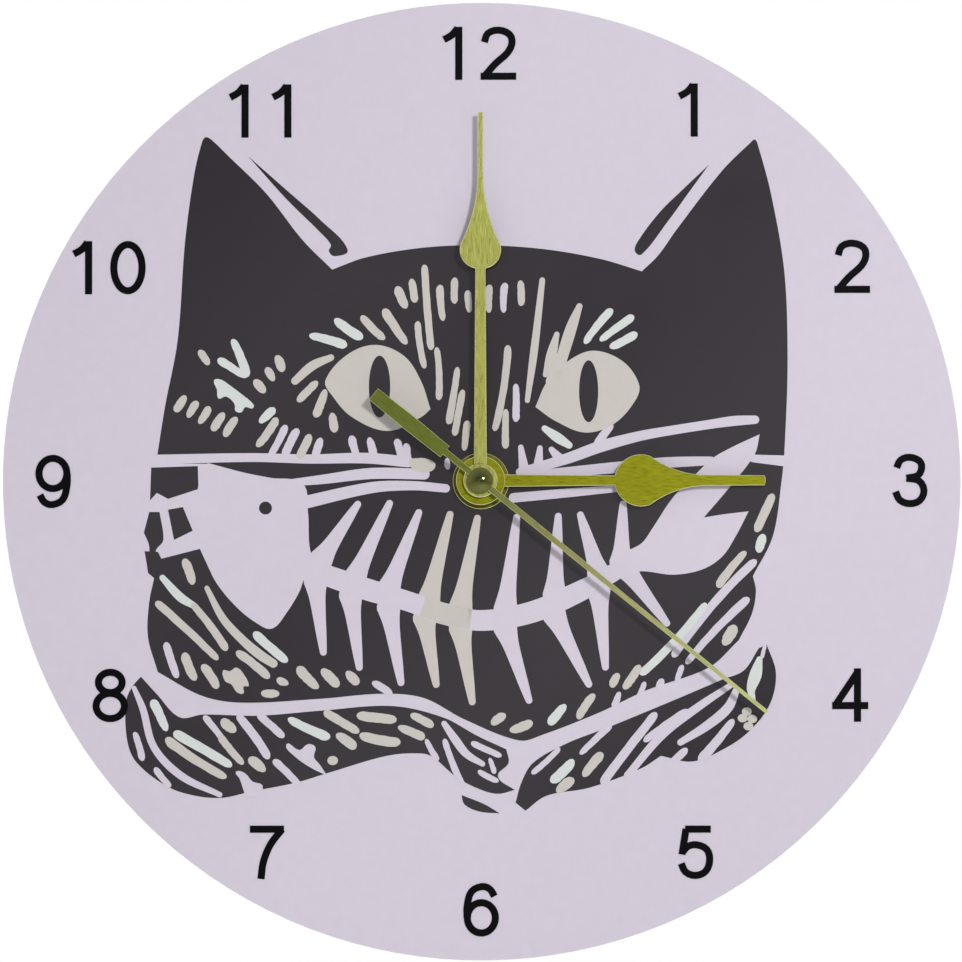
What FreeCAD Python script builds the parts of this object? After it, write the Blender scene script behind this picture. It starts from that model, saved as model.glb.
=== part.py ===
import FreeCAD, Part
import Sketcher
import math
import os

# A round printed wall clock, in millimetres. The hands turn about the Y axis, the dial looks
# along -Y, +Z is up, and y = 0 is the back of the movement, which rests on the wall.
# Depths are measured forwards from that back, so a depth of 20 is y = -20.

doc = FreeCAD.newDocument("wall_clock")
sheet = doc.addObject("Spreadsheet::Sheet", "sizes")

SIZES = [
    ("dial_radius", 125.0),
    ("dial_back", 16.8),
    ("dial_thick", 3.0),
    ("film_thick", 0.2),
    ("dial_hole", 4.1),
    ("dial_edge", 0.4),
    ("case_half", 28.0),
    ("case_depth", 16.0),
    ("case_corner", 3.5),
    ("side_wall", 1.1),
    ("front_wall", 1.0),
    ("post_radius", 4.0),
    ("post_front", 22.2),
    ("post_bore", 2.56),
    ("well_top", -11.8),
    ("partition", 1.0),
    ("hanger_height", 33.0),
    ("hanger_hole", 3.2),
    ("hanger_outer", 7.6),
    ("hanger_thick", 2.2),
    ("cover_thick", 1.2),
    ("cover_gap", 0.1),
    ("recess_radius", 7.2),
    ("recess_wall", 0.8),
    ("recess_depth", 3.2),
    ("boss_radius", 1.3),
    ("boss_front", 4.6),
    ("pivot_radius", 0.3),
    ("pivot_hole", 0.35),
    ("pivot_back", 3.0),
    ("plate_back", 10.2),
    ("plate_thick", 0.8),
    ("pivot_front", 10.9),
    ("gasket_radius", 18.0),
    ("gasket_thick", 0.8),
    ("washer_radius", 7.35),
    ("washer_thick", 0.4),
    ("nut_across", 10.0),
    ("nut_thick", 1.5),
    ("second_shaft", 0.5),
    ("minute_bore", 0.54),
    ("minute_shaft", 1.6),
    ("hour_bore", 1.65),
    ("hour_shaft", 2.5),
    ("setting_shaft", 1.2),
    ("setting_hole", 1.25),
    ("slow_pivot", 0.4),
    ("rotor_module", 0.2),
    ("rotor_teeth", 10),
    ("inter_teeth", 60),
    ("drive_module", 0.21),
    ("drive_teeth", 12),
    ("seconds_teeth", 60),
    ("third_module", 0.22),
    ("seconds_leaves", 8),
    ("third_teeth", 60),
    ("centre_module", 0.207778),
    ("third_leaves", 8),
    ("centre_teeth", 64),
    ("minute_module", 0.36),
    ("minute_leaves", 12),
    ("setting_teeth", 36),
    ("hour_module", 0.3456),
    ("setting_leaves", 10),
    ("hour_teeth", 40),
    ("inter_x", 7.4452),
    ("inter_z", -1.3128),
    ("rotor_x", 11.9447),
    ("rotor_z", 4.0495),
    ("third_x", 3.74),
    ("third_z", 6.4779),
    ("setting_x", -7.4825),
    ("setting_z", 4.32),
    ("knob_radius", 5.5),
    ("knob_back", 0.4),
    ("knob_thick", 2.5),
    ("knob_ribs", 24),
    ("battery_radius", 7.1),
    ("battery_length", 49.2),
    ("battery_left", -24.3),
    ("battery_depth", 7.6),
    ("battery_z", -19.3),
    ("label_thick", 0.1),
    ("coil_x", 10.0),
    ("coil_z", 20.5),
    ("coil_depth", 8.8),
    ("coil_half", 10.5),
    ("stator_back", 9.2),
    ("stator_thick", 1.0),
    ("board_back", 9.0),
    ("board_thick", 0.8),
    ("hand_thick", 0.4),
    ("hub_thick", 1.0),
    ("hour_hub_back", 22.5),
    ("hour_hub", 6.4),
    ("hour_length", 74.3),
    ("hour_stem", 1.3),
    ("hour_leaf", 6.65),
    ("minute_hub_back", 24.0),
    ("minute_hub", 4.46),
    ("minute_length", 96.2),
    ("minute_stem", 1.35),
    ("minute_leaf", 5.35),
    ("minute_tip", 0.65),
    ("second_back", 25.9),
    ("second_thick", 0.25),
    ("second_length", 96.1),
    ("second_tail", 35.8),
    ("cap_radius", 3.3),
    ("cap_front", 27.8),
]

values = {}
for row, (alias, number) in enumerate(SIZES, start=1):
    sheet.set("A%d" % row, alias)
    sheet.set("B%d" % row, str(number))
    sheet.setAlias("B%d" % row, alias)
    values[alias] = float(number)
doc.recompute()


class Size:
    """A length that knows both its value and the spreadsheet formula it comes from."""

    def __init__(self, value, text):
        self.value = value
        self.text = text

    def join(self, sign, other, value):
        return Size(value, "(%s %s %s)" % (self.text, sign, size(other).text))

    def __add__(self, other):
        return self.join("+", other, self.value + size(other).value)

    def __sub__(self, other):
        return self.join("-", other, self.value - size(other).value)

    def __mul__(self, other):
        return self.join("*", other, self.value * size(other).value)

    def __neg__(self):
        return Size(-self.value, "(0 - %s)" % self.text)


def size(what):
    """A Size from a spreadsheet alias, from a plain number, or from another Size."""
    if isinstance(what, Size):
        return what
    if isinstance(what, str):
        return Size(values[what], "sizes." + what)
    return Size(float(what), "(%.6f)" % what)


def bind(thing, field, amount):
    """Set one property of an object from a spreadsheet formula."""
    thing.setExpression(field, size(amount).text)


# ---- sketches and features ----

nodes = []


def new_body(name):
    body = doc.addObject("PartDesign::Body", name)
    body.Label = name
    nodes.append(body)
    return body


def new_sketch(body, name, depth=0.0, turn=0.0, plane="XZ_Plane"):
    """A sketch parallel to the dial at a depth, or across the depth when plane is XY_Plane."""
    sketch = body.newObject("Sketcher::SketchObject", body.Name + "_" + name)
    base = [item for item in body.Origin.OriginFeatures if item.Role == plane][0]
    sketch.AttachmentSupport = (base, [""])
    sketch.MapMode = "FlatFace"
    spin = FreeCAD.Rotation(FreeCAD.Vector(0, 0, 1), turn)
    offset = FreeCAD.Vector(0, 0, size(depth).value)
    sketch.AttachmentOffset = FreeCAD.Placement(offset, spin)
    bind(sketch, "AttachmentOffset.Base.z", depth)
    return sketch


def fix_point(sketch, geometry, end, x, y):
    """Tie one point of a sketch to the origin by two dimensions."""
    for kind, amount in (("DistanceX", x), ("DistanceY", y)):
        number = size(amount).value
        at = sketch.addConstraint(Sketcher.Constraint(kind, -1, 1, geometry, end, number))
        name = "%s_%d_%d" % (kind, geometry, end)
        sketch.renameConstraint(at, name)
        bind(sketch, "Constraints." + name, amount)


def add_circle(sketch, radius, x=0.0, y=0.0):
    centre = FreeCAD.Vector(size(x).value, size(y).value, 0)
    number = size(radius).value
    shape = Part.Circle(centre, FreeCAD.Vector(0, 0, 1), number)
    circle = sketch.addGeometry(shape)
    fix_point(sketch, circle, 3, x, y)
    at = sketch.addConstraint(Sketcher.Constraint("Radius", circle, number))
    name = "Radius_%d" % circle
    sketch.renameConstraint(at, name)
    bind(sketch, "Constraints." + name, radius)


def add_outline(sketch, points):
    """A closed outline. A point is (x, y), or (x, y, via_x, via_y) when an arc leads to it."""
    spots = []
    for point in points:
        spots.append(FreeCAD.Vector(size(point[0]).value, size(point[1]).value, 0))
    links = []
    for i in range(len(points)):
        target = points[(i + 1) % len(points)]
        start = spots[i]
        end = spots[(i + 1) % len(points)]
        if len(target) == 2:
            shape = Part.LineSegment(start, end)
        else:
            via = FreeCAD.Vector(size(target[2]).value, size(target[3]).value, 0)
            shape = Part.Arc(start, via, end)
        edge = sketch.addGeometry(shape)
        forwards = (sketch.getPoint(edge, 1) - start).Length < 1e-5
        links.append((edge, 1 if forwards else 2, 2 if forwards else 1))
    for i, (edge, first, last) in enumerate(links):
        following = links[(i + 1) % len(links)]
        joined = Sketcher.Constraint("Coincident", edge, last, following[0], following[1])
        sketch.addConstraint(joined)
        fix_point(sketch, edge, first, points[i][0], points[i][1])


def add_box(sketch, x0, z0, x1, z1):
    add_outline(sketch, [(x0, z0), (x1, z0), (x1, z1), (x0, z1)])


def add_round_box(sketch, x0, z0, x1, z1, corner):
    """A rectangle with round corners."""
    x0, z0, x1, z1, r = (size(amount) for amount in (x0, z0, x1, z1, corner))
    k = r * (1 - math.sqrt(0.5))
    outline = [
        (x0 + r, z0, x0 + k, z0 + k),
        (x1 - r, z0),
        (x1, z0 + r, x1 - k, z0 + k),
        (x1, z1 - r),
        (x1 - r, z1, x1 - k, z1 - k),
        (x0 + r, z1),
        (x0, z1 - r, x0 + k, z1 - k),
        (x0, z0 + r),
    ]
    add_outline(sketch, outline)


def pad(body, sketch, length, name="pad"):
    """Extrude a sketch forwards, towards the reader of the clock."""
    feature = body.newObject("PartDesign::Pad", body.Name + "_" + name)
    feature.Profile = sketch
    bind(feature, "Length", length)
    sketch.Visibility = False
    body.Tip = feature
    doc.recompute()
    return feature


def pocket(body, sketch, length, name="pocket"):
    """Cut a sketch forwards, away from the back."""
    feature = body.newObject("PartDesign::Pocket", body.Name + "_" + name)
    before = body.Shape.Volume
    feature.Profile = sketch
    feature.Reversed = True
    bind(feature, "Length", length)
    body.Tip = feature
    doc.recompute()
    if body.Shape.Volume > before - 1e-6:
        raise RuntimeError("%s cuts nothing" % feature.Name)
    return feature


def revolve(body, sketch, axis="V_Axis", name="turned"):
    feature = body.newObject("PartDesign::Revolution", body.Name + "_" + name)
    feature.Profile = sketch
    feature.ReferenceAxis = (sketch, [axis])
    feature.Angle = 360
    body.Tip = feature
    doc.recompute()
    return feature


def repeat_round(body, feature, sketch, count, name="around"):
    """Repeat a feature evenly round the sketch's own axis."""
    pattern = body.newObject("PartDesign::PolarPattern", body.Name + "_" + name)
    pattern.Originals = [feature]
    pattern.Axis = (sketch, ["N_Axis"])
    pattern.Angle = 360
    body.Tip = pattern
    bind(pattern, "Occurrences", count)
    doc.recompute()
    return pattern


def place(body, x=0.0, depth=0.0, z=0.0, turn=0.0):
    """Move a body to its axis, and turn it clockwise as read from the front, in degrees."""
    where = FreeCAD.Vector(size(x).value, -size(depth).value, size(z).value)
    spin = FreeCAD.Rotation(FreeCAD.Vector(0, 1, 0), turn)
    body.Placement = FreeCAD.Placement(where, spin)
    bind(body, "Placement.Base.x", x)
    bind(body, "Placement.Base.y", -size(depth))
    bind(body, "Placement.Base.z", z)


def turned(body, profile, name="profile"):
    """A turned piece: profile holds (radius, depth) corners, as for add_outline."""
    flipped = []
    for point in profile:
        signed = [size(amount) for amount in point]
        for i in range(1, len(signed), 2):
            signed[i] = -signed[i]
        flipped.append(tuple(signed))
    sketch = new_sketch(body, name, plane="XY_Plane")
    add_outline(sketch, flipped)
    for i, point in enumerate(flipped):
        before = flipped[i - 1]
        if len(point) == 4 and min(abs(point[0].value), abs(before[0].value)) < 1e-9:
            # an arc that meets the axis is part of a sphere, so its centre is on the axis
            sketch.addConstraint(Sketcher.Constraint("PointOnObject", i - 1, 3, -2))
    return revolve(body, sketch, name=name + "_turned")


def plain_tube(body, inner, outer, back, front, name="tube"):
    """A round tube along the axis, or a rod when inner is None."""
    sketch = new_sketch(body, name, back)
    add_circle(sketch, outer)
    if inner is not None:
        add_circle(sketch, inner)
    return pad(body, sketch, size(front) - back, name + "_pad")


def gear(body, name, module, teeth, back, thick, turn, bore=None):
    """A wheel or pinion whose first tooth points along turn, anticlockwise from +X in degrees."""
    module = size(module)
    pitch = module * teeth * 0.5
    root = pitch - module * 1.1
    disc = new_sketch(body, name + "_disc", back)
    add_circle(disc, root)
    if bore is not None:
        add_circle(disc, bore)
    pad(body, disc, thick, name + "_disc_pad")
    tooth = new_sketch(body, name + "_tooth", back, turn)
    inside = root - module * 0.3
    tip = pitch + module * 0.8
    outline = [
        (inside, -(module * 0.7)),
        (root, -(module * 0.7)),
        (pitch, -(module * 0.6)),
        (tip, -(module * 0.3)),
        (tip, module * 0.3),
        (pitch, module * 0.6),
        (root, module * 0.7),
        (inside, module * 0.7),
    ]
    add_outline(tooth, outline)
    one = pad(body, tooth, thick, name + "_tooth_pad")
    return repeat_round(body, one, disc, teeth, name + "_teeth")


def heading(start, end):
    """The direction from one axis to another, anticlockwise from +X in degrees."""
    return math.degrees(math.atan2(end[1] - start[1], end[0] - start[0]))


CENTRE = (0.0, 0.0)
INTER = (values["inter_x"], values["inter_z"])
ROTOR = (values["rotor_x"], values["rotor_z"])
THIRD = (values["third_x"], values["third_z"])
SETTING = (values["setting_x"], values["setting_z"])


def gap_towards(start, end, teeth):
    """A first-tooth heading that leaves a gap, not a tooth, pointing at the mating wheel."""
    return heading(start, end) + 180.0 / values[teeth]


# ---- the dial and the case ----


def make_dial():
    body = new_body("dial_plate")
    sketch = new_sketch(body, "disc", "dial_back")
    add_circle(sketch, "dial_radius")
    add_circle(sketch, "dial_hole")
    disc = pad(body, sketch, "dial_thick")
    rims = []
    for i, edge in enumerate(disc.Shape.Edges):
        if edge.BoundBox.XLength > values["dial_radius"] and edge.Closed:
            if abs(edge.BoundBox.YMax + values["dial_back"]) < 0.01:
                rims.append("Edge%d" % (i + 1))
    bevel = body.newObject("PartDesign::Chamfer", "dial_plate_bevel")
    bevel.Base = (disc, rims)
    bind(bevel, "Size", "dial_edge")
    body.Tip = bevel
    doc.recompute()


def make_face():
    body = new_body("printed_face")
    sketch = new_sketch(body, "disc", size("dial_back") + "dial_thick")
    add_circle(sketch, "dial_radius")
    add_circle(sketch, "dial_hole")
    pad(body, sketch, "film_thick")


def make_front_case():
    """The moulded case: walls, front, battery well, threaded post, posts and hanging loop."""
    body = new_body("front_case")
    half = size("case_half")
    inner = half - "side_wall"
    inner_corner = size("case_corner") - "side_wall"
    walls = new_sketch(body, "walls")
    add_round_box(walls, -half, -half, half, half, "case_corner")
    add_round_box(walls, -inner, -inner, inner, inner, inner_corner)
    wall_depth = size("case_depth") - "front_wall"
    pad(body, walls, wall_depth, "walls_pad")
    front = new_sketch(body, "front", wall_depth)
    add_round_box(front, -half, -half, half, half, "case_corner")
    add_circle(front, "post_bore")
    pad(body, front, "front_wall", "front_pad")
    divider = new_sketch(body, "divider")
    add_box(divider, -25.9, "well_top", 25.9, size("well_top") + "partition")
    pad(body, divider, wall_depth, "divider_pad")
    plain_tube(body, "post_bore", "post_radius", "case_depth", "post_front", "post")
    under_plate = size("plate_back") + "plate_thick"
    supports = new_sketch(body, "supports", under_plate)
    for x in (-22.0, 22.0):
        for z in (-7.0, 11.0):
            add_circle(supports, 1.6, x, z)
    pad(body, supports, wall_depth - under_plate, "supports_pad")
    under_board = size("board_back") + "board_thick"
    rest = new_sketch(body, "board_rest", under_board)
    add_circle(rest, 1.5, -22.0, 20.5)
    add_circle(rest, 1.5, -10.0, 20.5)
    pad(body, rest, wall_depth - under_board, "board_rest_pad")
    socket = new_sketch(body, "socket", 13.6)
    add_circle(socket, 1.5, "setting_x", "setting_z")
    add_circle(socket, size("slow_pivot") + 0.05, "setting_x", "setting_z")
    pad(body, socket, wall_depth - 13.6, "socket_pad")
    loop = new_sketch(body, "loop")
    outer = size("hanger_outer")
    middle = size("hanger_height")
    outline = [
        (outer, half - 0.5),
        (outer, middle),
        (-outer, middle, 0.0, middle + outer),
        (-outer, half - 0.5),
    ]
    add_outline(loop, outline)
    add_circle(loop, "hanger_hole", 0.0, middle)
    pad(body, loop, "hanger_thick", "loop_pad")


def make_rear_cover():
    """The cover over the wheels, with a cup for the setting knob and a bearing for each pivot."""
    body = new_body("rear_cover")
    side = size("case_half") - "side_wall" - "cover_gap"
    low = size("well_top") + "partition" + "cover_gap"
    plate = new_sketch(body, "plate")
    add_round_box(plate, -side, low, side, side, 2.3)
    add_circle(plate, "recess_radius", "setting_x", "setting_z")
    pad(body, plate, "cover_thick", "plate_pad")
    cup = new_sketch(body, "cup")
    add_circle(cup, size("recess_radius") + "recess_wall", "setting_x", "setting_z")
    add_circle(cup, "recess_radius", "setting_x", "setting_z")
    pad(body, cup, "recess_depth", "cup_pad")
    floor = new_sketch(body, "floor", "recess_depth")
    add_circle(floor, size("recess_radius") + "recess_wall", "setting_x", "setting_z")
    add_circle(floor, "setting_hole", "setting_x", "setting_z")
    pad(body, floor, "recess_wall", "floor_pad")
    boss_depth = size("boss_front") - "cover_thick"
    axes = ((0.0, 0.0), ("inter_x", "inter_z"), ("rotor_x", "rotor_z"), ("third_x", "third_z"))
    bosses = new_sketch(body, "bosses", "cover_thick")
    for x, z in axes:
        add_circle(bosses, "boss_radius", x, z)
    pad(body, bosses, boss_depth, "bosses_pad")
    bearings = new_sketch(body, "bearings", size("boss_front") - 2.0)
    for x, z in axes:
        add_circle(bearings, "pivot_hole", x, z)
    pocket(body, bearings, 2.0, "bearings_cut")


def make_middle_plate():
    """The plate that carries the front pivots."""
    body = new_body("middle_plate")
    sketch = new_sketch(body, "plate", "plate_back")
    add_round_box(sketch, -25.0, -9.8, 25.0, 14.5, 1.5)
    add_circle(sketch, "hour_bore")
    add_circle(sketch, "setting_hole", "setting_x", "setting_z")
    add_circle(sketch, "pivot_hole", "inter_x", "inter_z")
    add_circle(sketch, "pivot_hole", "rotor_x", "rotor_z")
    add_circle(sketch, "pivot_hole", "third_x", "third_z")
    pad(body, sketch, "plate_thick")


def make_fixings():
    """The rubber gasket behind the dial, and the washer and nut in front of it."""
    gasket = new_body("rubber_gasket")
    plain_tube(gasket, "dial_hole", "gasket_radius", "case_depth", "dial_back")
    face = size("dial_back") + "dial_thick" + "film_thick"
    washer = new_body("brass_washer")
    plain_tube(washer, "post_radius", "washer_radius", face, face + "washer_thick")
    nut = new_body("hex_nut")
    sketch = new_sketch(nut, "hexagon", face + "washer_thick")
    corner = size("nut_across") * (1 / math.sqrt(3))
    corners = []
    for i in range(6):
        angle = math.radians(60 * i)
        corners.append((corner * math.cos(angle), corner * math.sin(angle)))
    add_outline(sketch, corners)
    add_circle(sketch, "post_radius")
    pad(nut, sketch, "nut_thick")


# ---- the electric part ----


def make_board():
    board = new_body("circuit_board")
    sketch = new_sketch(board, "board", "board_back")
    add_box(sketch, -26.0, 15.0, -7.0, 26.0)
    pad(board, sketch, "board_thick")
    chip = new_body("chip_cover")
    turned(chip, [(0.0, 0.0), (2.6, 0.0), (0.0, -1.1, 1.42, -0.79)])
    place(chip, -14.0, "board_back", 20.0)
    crystal = new_body("quartz_crystal")
    profile = new_sketch(crystal, "profile", plane="XY_Plane")
    add_outline(profile, [(-3.0, 0.0), (3.0, 0.0), (3.0, 1.0), (-2.6, 1.0), (-3.0, 0.6)])
    revolve(crystal, profile, "H_Axis")
    place(crystal, -20.5, size("board_back") - 1.0, 23.0)


def make_coil():
    core = new_body("coil_core")
    sketch = new_sketch(core, "bar", size("coil_depth") - 0.4)
    low = size("coil_z") - 1.2
    add_box(sketch, -5.0, low, 24.5, low + 2.4)
    pad(core, sketch, 0.8)
    bobbin = new_body("coil_bobbin")
    profile = new_sketch(bobbin, "profile", plane="XY_Plane")
    end = size("coil_half")
    outline = [
        (-end, 0.0),
        (end, 0.0),
        (end, 3.6),
        (end - 0.8, 3.6),
        (end - 0.8, 1.8),
        (-end + 0.8, 1.8),
        (-end + 0.8, 3.6),
        (-end, 3.6),
    ]
    add_outline(profile, outline)
    revolve(bobbin, profile, "H_Axis")
    slot = new_sketch(bobbin, "slot", -0.45)
    add_box(slot, -end - 1.0, -1.25, end + 1.0, 1.25)
    pocket(bobbin, slot, 0.9, "slot_cut")
    place(bobbin, "coil_x", "coil_depth", "coil_z")
    winding = new_body("coil_winding")
    profile = new_sketch(winding, "profile", plane="XY_Plane")
    inside = end - 0.8
    add_outline(profile, [(-inside, 1.8), (inside, 1.8), (inside, 3.2), (-inside, 3.2)])
    revolve(winding, profile, "H_Axis")
    place(winding, "coil_x", "coil_depth", "coil_z")


def make_stator():
    """The soft-iron plate that leads the coil's field round the rotor."""
    body = new_body("stator_plate")
    sketch = new_sketch(body, "outline", "stator_back")
    outline = [
        (-5.0, 21.7),
        (-5.0, 12.5),
        (6.0, 9.4),
        (8.6, 6.6),
        (8.6, 1.0),
        (15.3, 1.0),
        (15.3, 6.0),
        (24.5, 12.5),
        (24.5, 21.7),
        (21.6, 21.7),
        (21.6, 14.2),
        (14.4, 8.6),
        (10.6, 8.6),
        (8.0, 11.6),
        (-2.1, 14.6),
        (-2.1, 21.7),
    ]
    add_outline(sketch, outline)
    add_circle(sketch, 2.0, "rotor_x", "rotor_z")
    pad(body, sketch, "stator_thick")


def make_contacts():
    """The two battery contacts, each a bent strip, and the coiled spring on the negative one."""
    positive = new_body("contact_positive")
    strips = (
        ("end", 3.0, 9.0, (26.2, -24.3, 26.6, -14.3)),
        ("side", 6.6, 2.0, (26.2, -15.0, 26.6, 24.0)),
        ("corner", 6.6, 2.0, (24.0, 24.0, 26.6, 24.4)),
        ("top", 6.6, 2.0, (-21.0, 26.2, 24.4, 26.6)),
        ("step", 6.6, 2.0, (24.0, 24.0, 24.4, 26.6)),
        ("tab", 8.2, 0.8, (-21.0, 24.5, -18.0, 26.6)),
    )
    add_strips(positive, strips)
    negative = new_body("contact_negative")
    strips = (
        ("end", 3.0, 9.0, (-26.6, -24.3, -26.2, -14.3)),
        ("side", 6.6, 2.4, (-26.6, -15.0, -26.2, 18.0)),
        ("tab", 8.6, 0.4, (-26.6, 16.0, -23.5, 18.0)),
    )
    add_strips(negative, strips)


def add_strips(body, strips):
    """Build a bent strip from upright bands: name, depth of its back, width, and outline."""
    for name, back, width, (x0, z0, x1, z1) in strips:
        sketch = new_sketch(body, name, back)
        add_box(sketch, x0, z0, x1, z1)
        pad(body, sketch, width, name + "_pad")


def make_contact_spring():
    """A short conical coil of round wire, widest where it sits on the negative contact."""
    wire = 0.25
    path = Part.makeHelix(0.62, 1.24, 3.6, 12.0)
    start = FreeCAD.Vector(3.6, 0, 0)
    ring = Part.Wire([Part.makeCircle(wire, start, FreeCAD.Vector(0, 1, 0))])
    coil = Part.Wire(path).makePipeShell([ring], True, True)
    spring = doc.addObject("Part::Feature", "contact_spring")
    spring.Label = "contact_spring"
    spring.Shape = coil
    across = FreeCAD.Rotation(FreeCAD.Vector(0, 1, 0), 90)
    where = FreeCAD.Vector(-26.2 + wire, -values["battery_depth"], values["battery_z"])
    spring.Placement = FreeCAD.Placement(where, across)
    nodes.append(spring)


def make_battery():
    left = size("battery_left")
    right = left + "battery_length"
    can_radius = size("battery_radius") - "label_thick"
    can = new_body("battery_can")
    profile = new_sketch(can, "profile", plane="XY_Plane")
    outline = [
        (left, 0.0),
        (right, 0.0),
        (right, can_radius - 1.0),
        (right - 1.0, can_radius, right - 0.293, can_radius - 0.293),
        (left + 0.6, can_radius),
        (left, can_radius - 0.6, left + 0.176, can_radius - 0.176),
    ]
    add_outline(profile, outline)
    revolve(can, profile, "H_Axis")
    place(can, 0.0, "battery_depth", "battery_z")
    label = new_body("battery_label")
    profile = new_sketch(label, "profile", plane="XY_Plane")
    ends = (left + 0.7, right - 1.1)
    outline = [
        (ends[0], can_radius),
        (ends[1], can_radius),
        (ends[1], "battery_radius"),
        (ends[0], "battery_radius"),
    ]
    add_outline(profile, outline)
    revolve(label, profile, "H_Axis")
    place(label, 0.0, "battery_depth", "battery_z")
    cap = new_body("battery_cap")
    profile = new_sketch(cap, "profile", plane="XY_Plane")
    tip = right + 1.1
    outline = [
        (right, 0.0),
        (tip, 0.0),
        (tip, 2.4),
        (tip - 0.3, 2.7, tip - 0.09, 2.61),
        (right, 2.7),
    ]
    add_outline(profile, outline)
    revolve(cap, profile, "H_Axis")
    place(cap, 0.0, "battery_depth", "battery_z")


# ---- the wheels ----


def make_rotor():
    pinion = new_body("rotor_pinion")
    plain_tube(pinion, None, "pivot_radius", "pivot_back", "pivot_front", "pivot")
    plain_tube(pinion, None, "slow_pivot", 4.9, 10.05, "arbor")
    facing = heading(ROTOR, INTER)
    gear(pinion, "leaves", "rotor_module", "rotor_teeth", 6.3, 1.0, facing)
    place(pinion, "rotor_x", 0.0, "rotor_z")
    magnet = new_body("rotor_magnet")
    plain_tube(magnet, "slow_pivot", 1.6, 8.9, 10.0)
    place(magnet, "rotor_x", 0.0, "rotor_z")


def make_intermediate():
    body = new_body("intermediate_wheel")
    plain_tube(body, None, "pivot_radius", "pivot_back", "pivot_front", "pivot")
    plain_tube(body, None, "slow_pivot", 4.9, 9.9, "arbor")
    to_rotor = gap_towards(INTER, ROTOR, "inter_teeth")
    gear(body, "wheel", "rotor_module", "inter_teeth", 6.6, 0.4, to_rotor)
    to_seconds = heading(INTER, CENTRE)
    gear(body, "leaves", "drive_module", "drive_teeth", 4.9, 1.8, to_seconds)
    place(body, "inter_x", 0.0, "inter_z")


def make_seconds():
    """The seconds wheel and its arbor, which reaches through everything to the front."""
    arbor = new_body("seconds_arbor")
    plain_tube(arbor, None, "pivot_radius", "pivot_back", 4.9, "pivot")
    plain_tube(arbor, None, "second_shaft", 4.8, 26.9, "rod")
    wheel = new_body("seconds_wheel")
    to_drive = gap_towards(CENTRE, INTER, "seconds_teeth")
    gear(wheel, "wheel", "drive_module", "seconds_teeth", 5.2, 0.5, to_drive, "second_shaft")
    leaves = ("third_module", "seconds_leaves", 5.6, 2.6)
    gear(wheel, "leaves", *leaves, heading(CENTRE, THIRD), "second_shaft")


def make_third():
    body = new_body("third_wheel")
    plain_tube(body, None, "pivot_radius", "pivot_back", "pivot_front", "pivot")
    plain_tube(body, None, "slow_pivot", 4.9, 9.9, "arbor")
    to_seconds = gap_towards(THIRD, CENTRE, "third_teeth")
    gear(body, "wheel", "third_module", "third_teeth", 7.6, 0.4, to_seconds)
    to_centre = heading(THIRD, CENTRE)
    gear(body, "leaves", "centre_module", "third_leaves", 7.9, 1.9, to_centre)
    place(body, "third_x", 0.0, "third_z")


def make_minutes():
    """The centre wheel, gripping the minute pipe, whose own leaves drive the setting wheel."""
    wheel = new_body("centre_wheel")
    to_third = gap_towards(CENTRE, THIRD, "centre_teeth")
    gear(wheel, "wheel", "centre_module", "centre_teeth", 9.1, 0.4, to_third, "minute_shaft")
    plain_tube(wheel, "minute_shaft", 2.4, 8.9, 9.9, "hub")
    pipe = new_body("minute_pipe")
    plain_tube(pipe, "minute_bore", "minute_shaft", 8.6, 25.1, "pipe")
    leaves = ("minute_module", "minute_leaves", 11.4, 1.0)
    gear(pipe, "leaves", *leaves, heading(CENTRE, SETTING), "minute_bore")


def make_setting():
    """The wheel between minutes and hours, and the knob that turns it by hand."""
    body = new_body("setting_wheel")
    plain_tube(body, None, "setting_shaft", 0.9, 13.3, "shaft")
    plain_tube(body, None, "slow_pivot", 13.2, 14.6, "pivot")
    to_minutes = gap_towards(SETTING, CENTRE, "setting_teeth")
    gear(body, "wheel", "minute_module", "setting_teeth", 11.7, 0.4, to_minutes)
    to_hours = heading(SETTING, CENTRE)
    gear(body, "leaves", "hour_module", "setting_leaves", 12.0, 1.3, to_hours)
    place(body, "setting_x", 0.0, "setting_z")
    knob = new_body("setting_knob")
    radius = size("knob_radius")
    sketch = new_sketch(knob, "disc", "knob_back")
    add_circle(sketch, radius)
    pad(knob, sketch, "knob_thick", "disc_pad")
    flute = new_sketch(knob, "flute", "knob_back")
    add_circle(flute, 0.35, radius + 0.1, 0.0)
    cut = pocket(knob, flute, "knob_thick", "flute_cut")
    repeat_round(knob, cut, sketch, "knob_ribs", "flutes")
    dish = new_sketch(knob, "dish", "knob_back")
    add_circle(dish, radius - 1.2)
    add_circle(dish, 2.2)
    pocket(knob, dish, 1.0, "dish_cut")
    bore = new_sketch(knob, "bore", 0.9)
    add_circle(bore, "setting_shaft")
    pocket(knob, bore, 3.0, "bore_cut")
    place(knob, "setting_x", 0.0, "setting_z")


def make_hour_wheel():
    body = new_body("hour_wheel")
    to_setting = gap_towards(CENTRE, SETTING, "hour_teeth")
    gear(body, "wheel", "hour_module", "hour_teeth", 12.7, 0.4, to_setting, "hour_bore")
    plain_tube(body, "hour_bore", 3.4, 12.6, 14.2, "hub")
    plain_tube(body, "hour_bore", "hour_shaft", 12.6, 23.6, "pipe")


# ---- the hands ----


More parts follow.
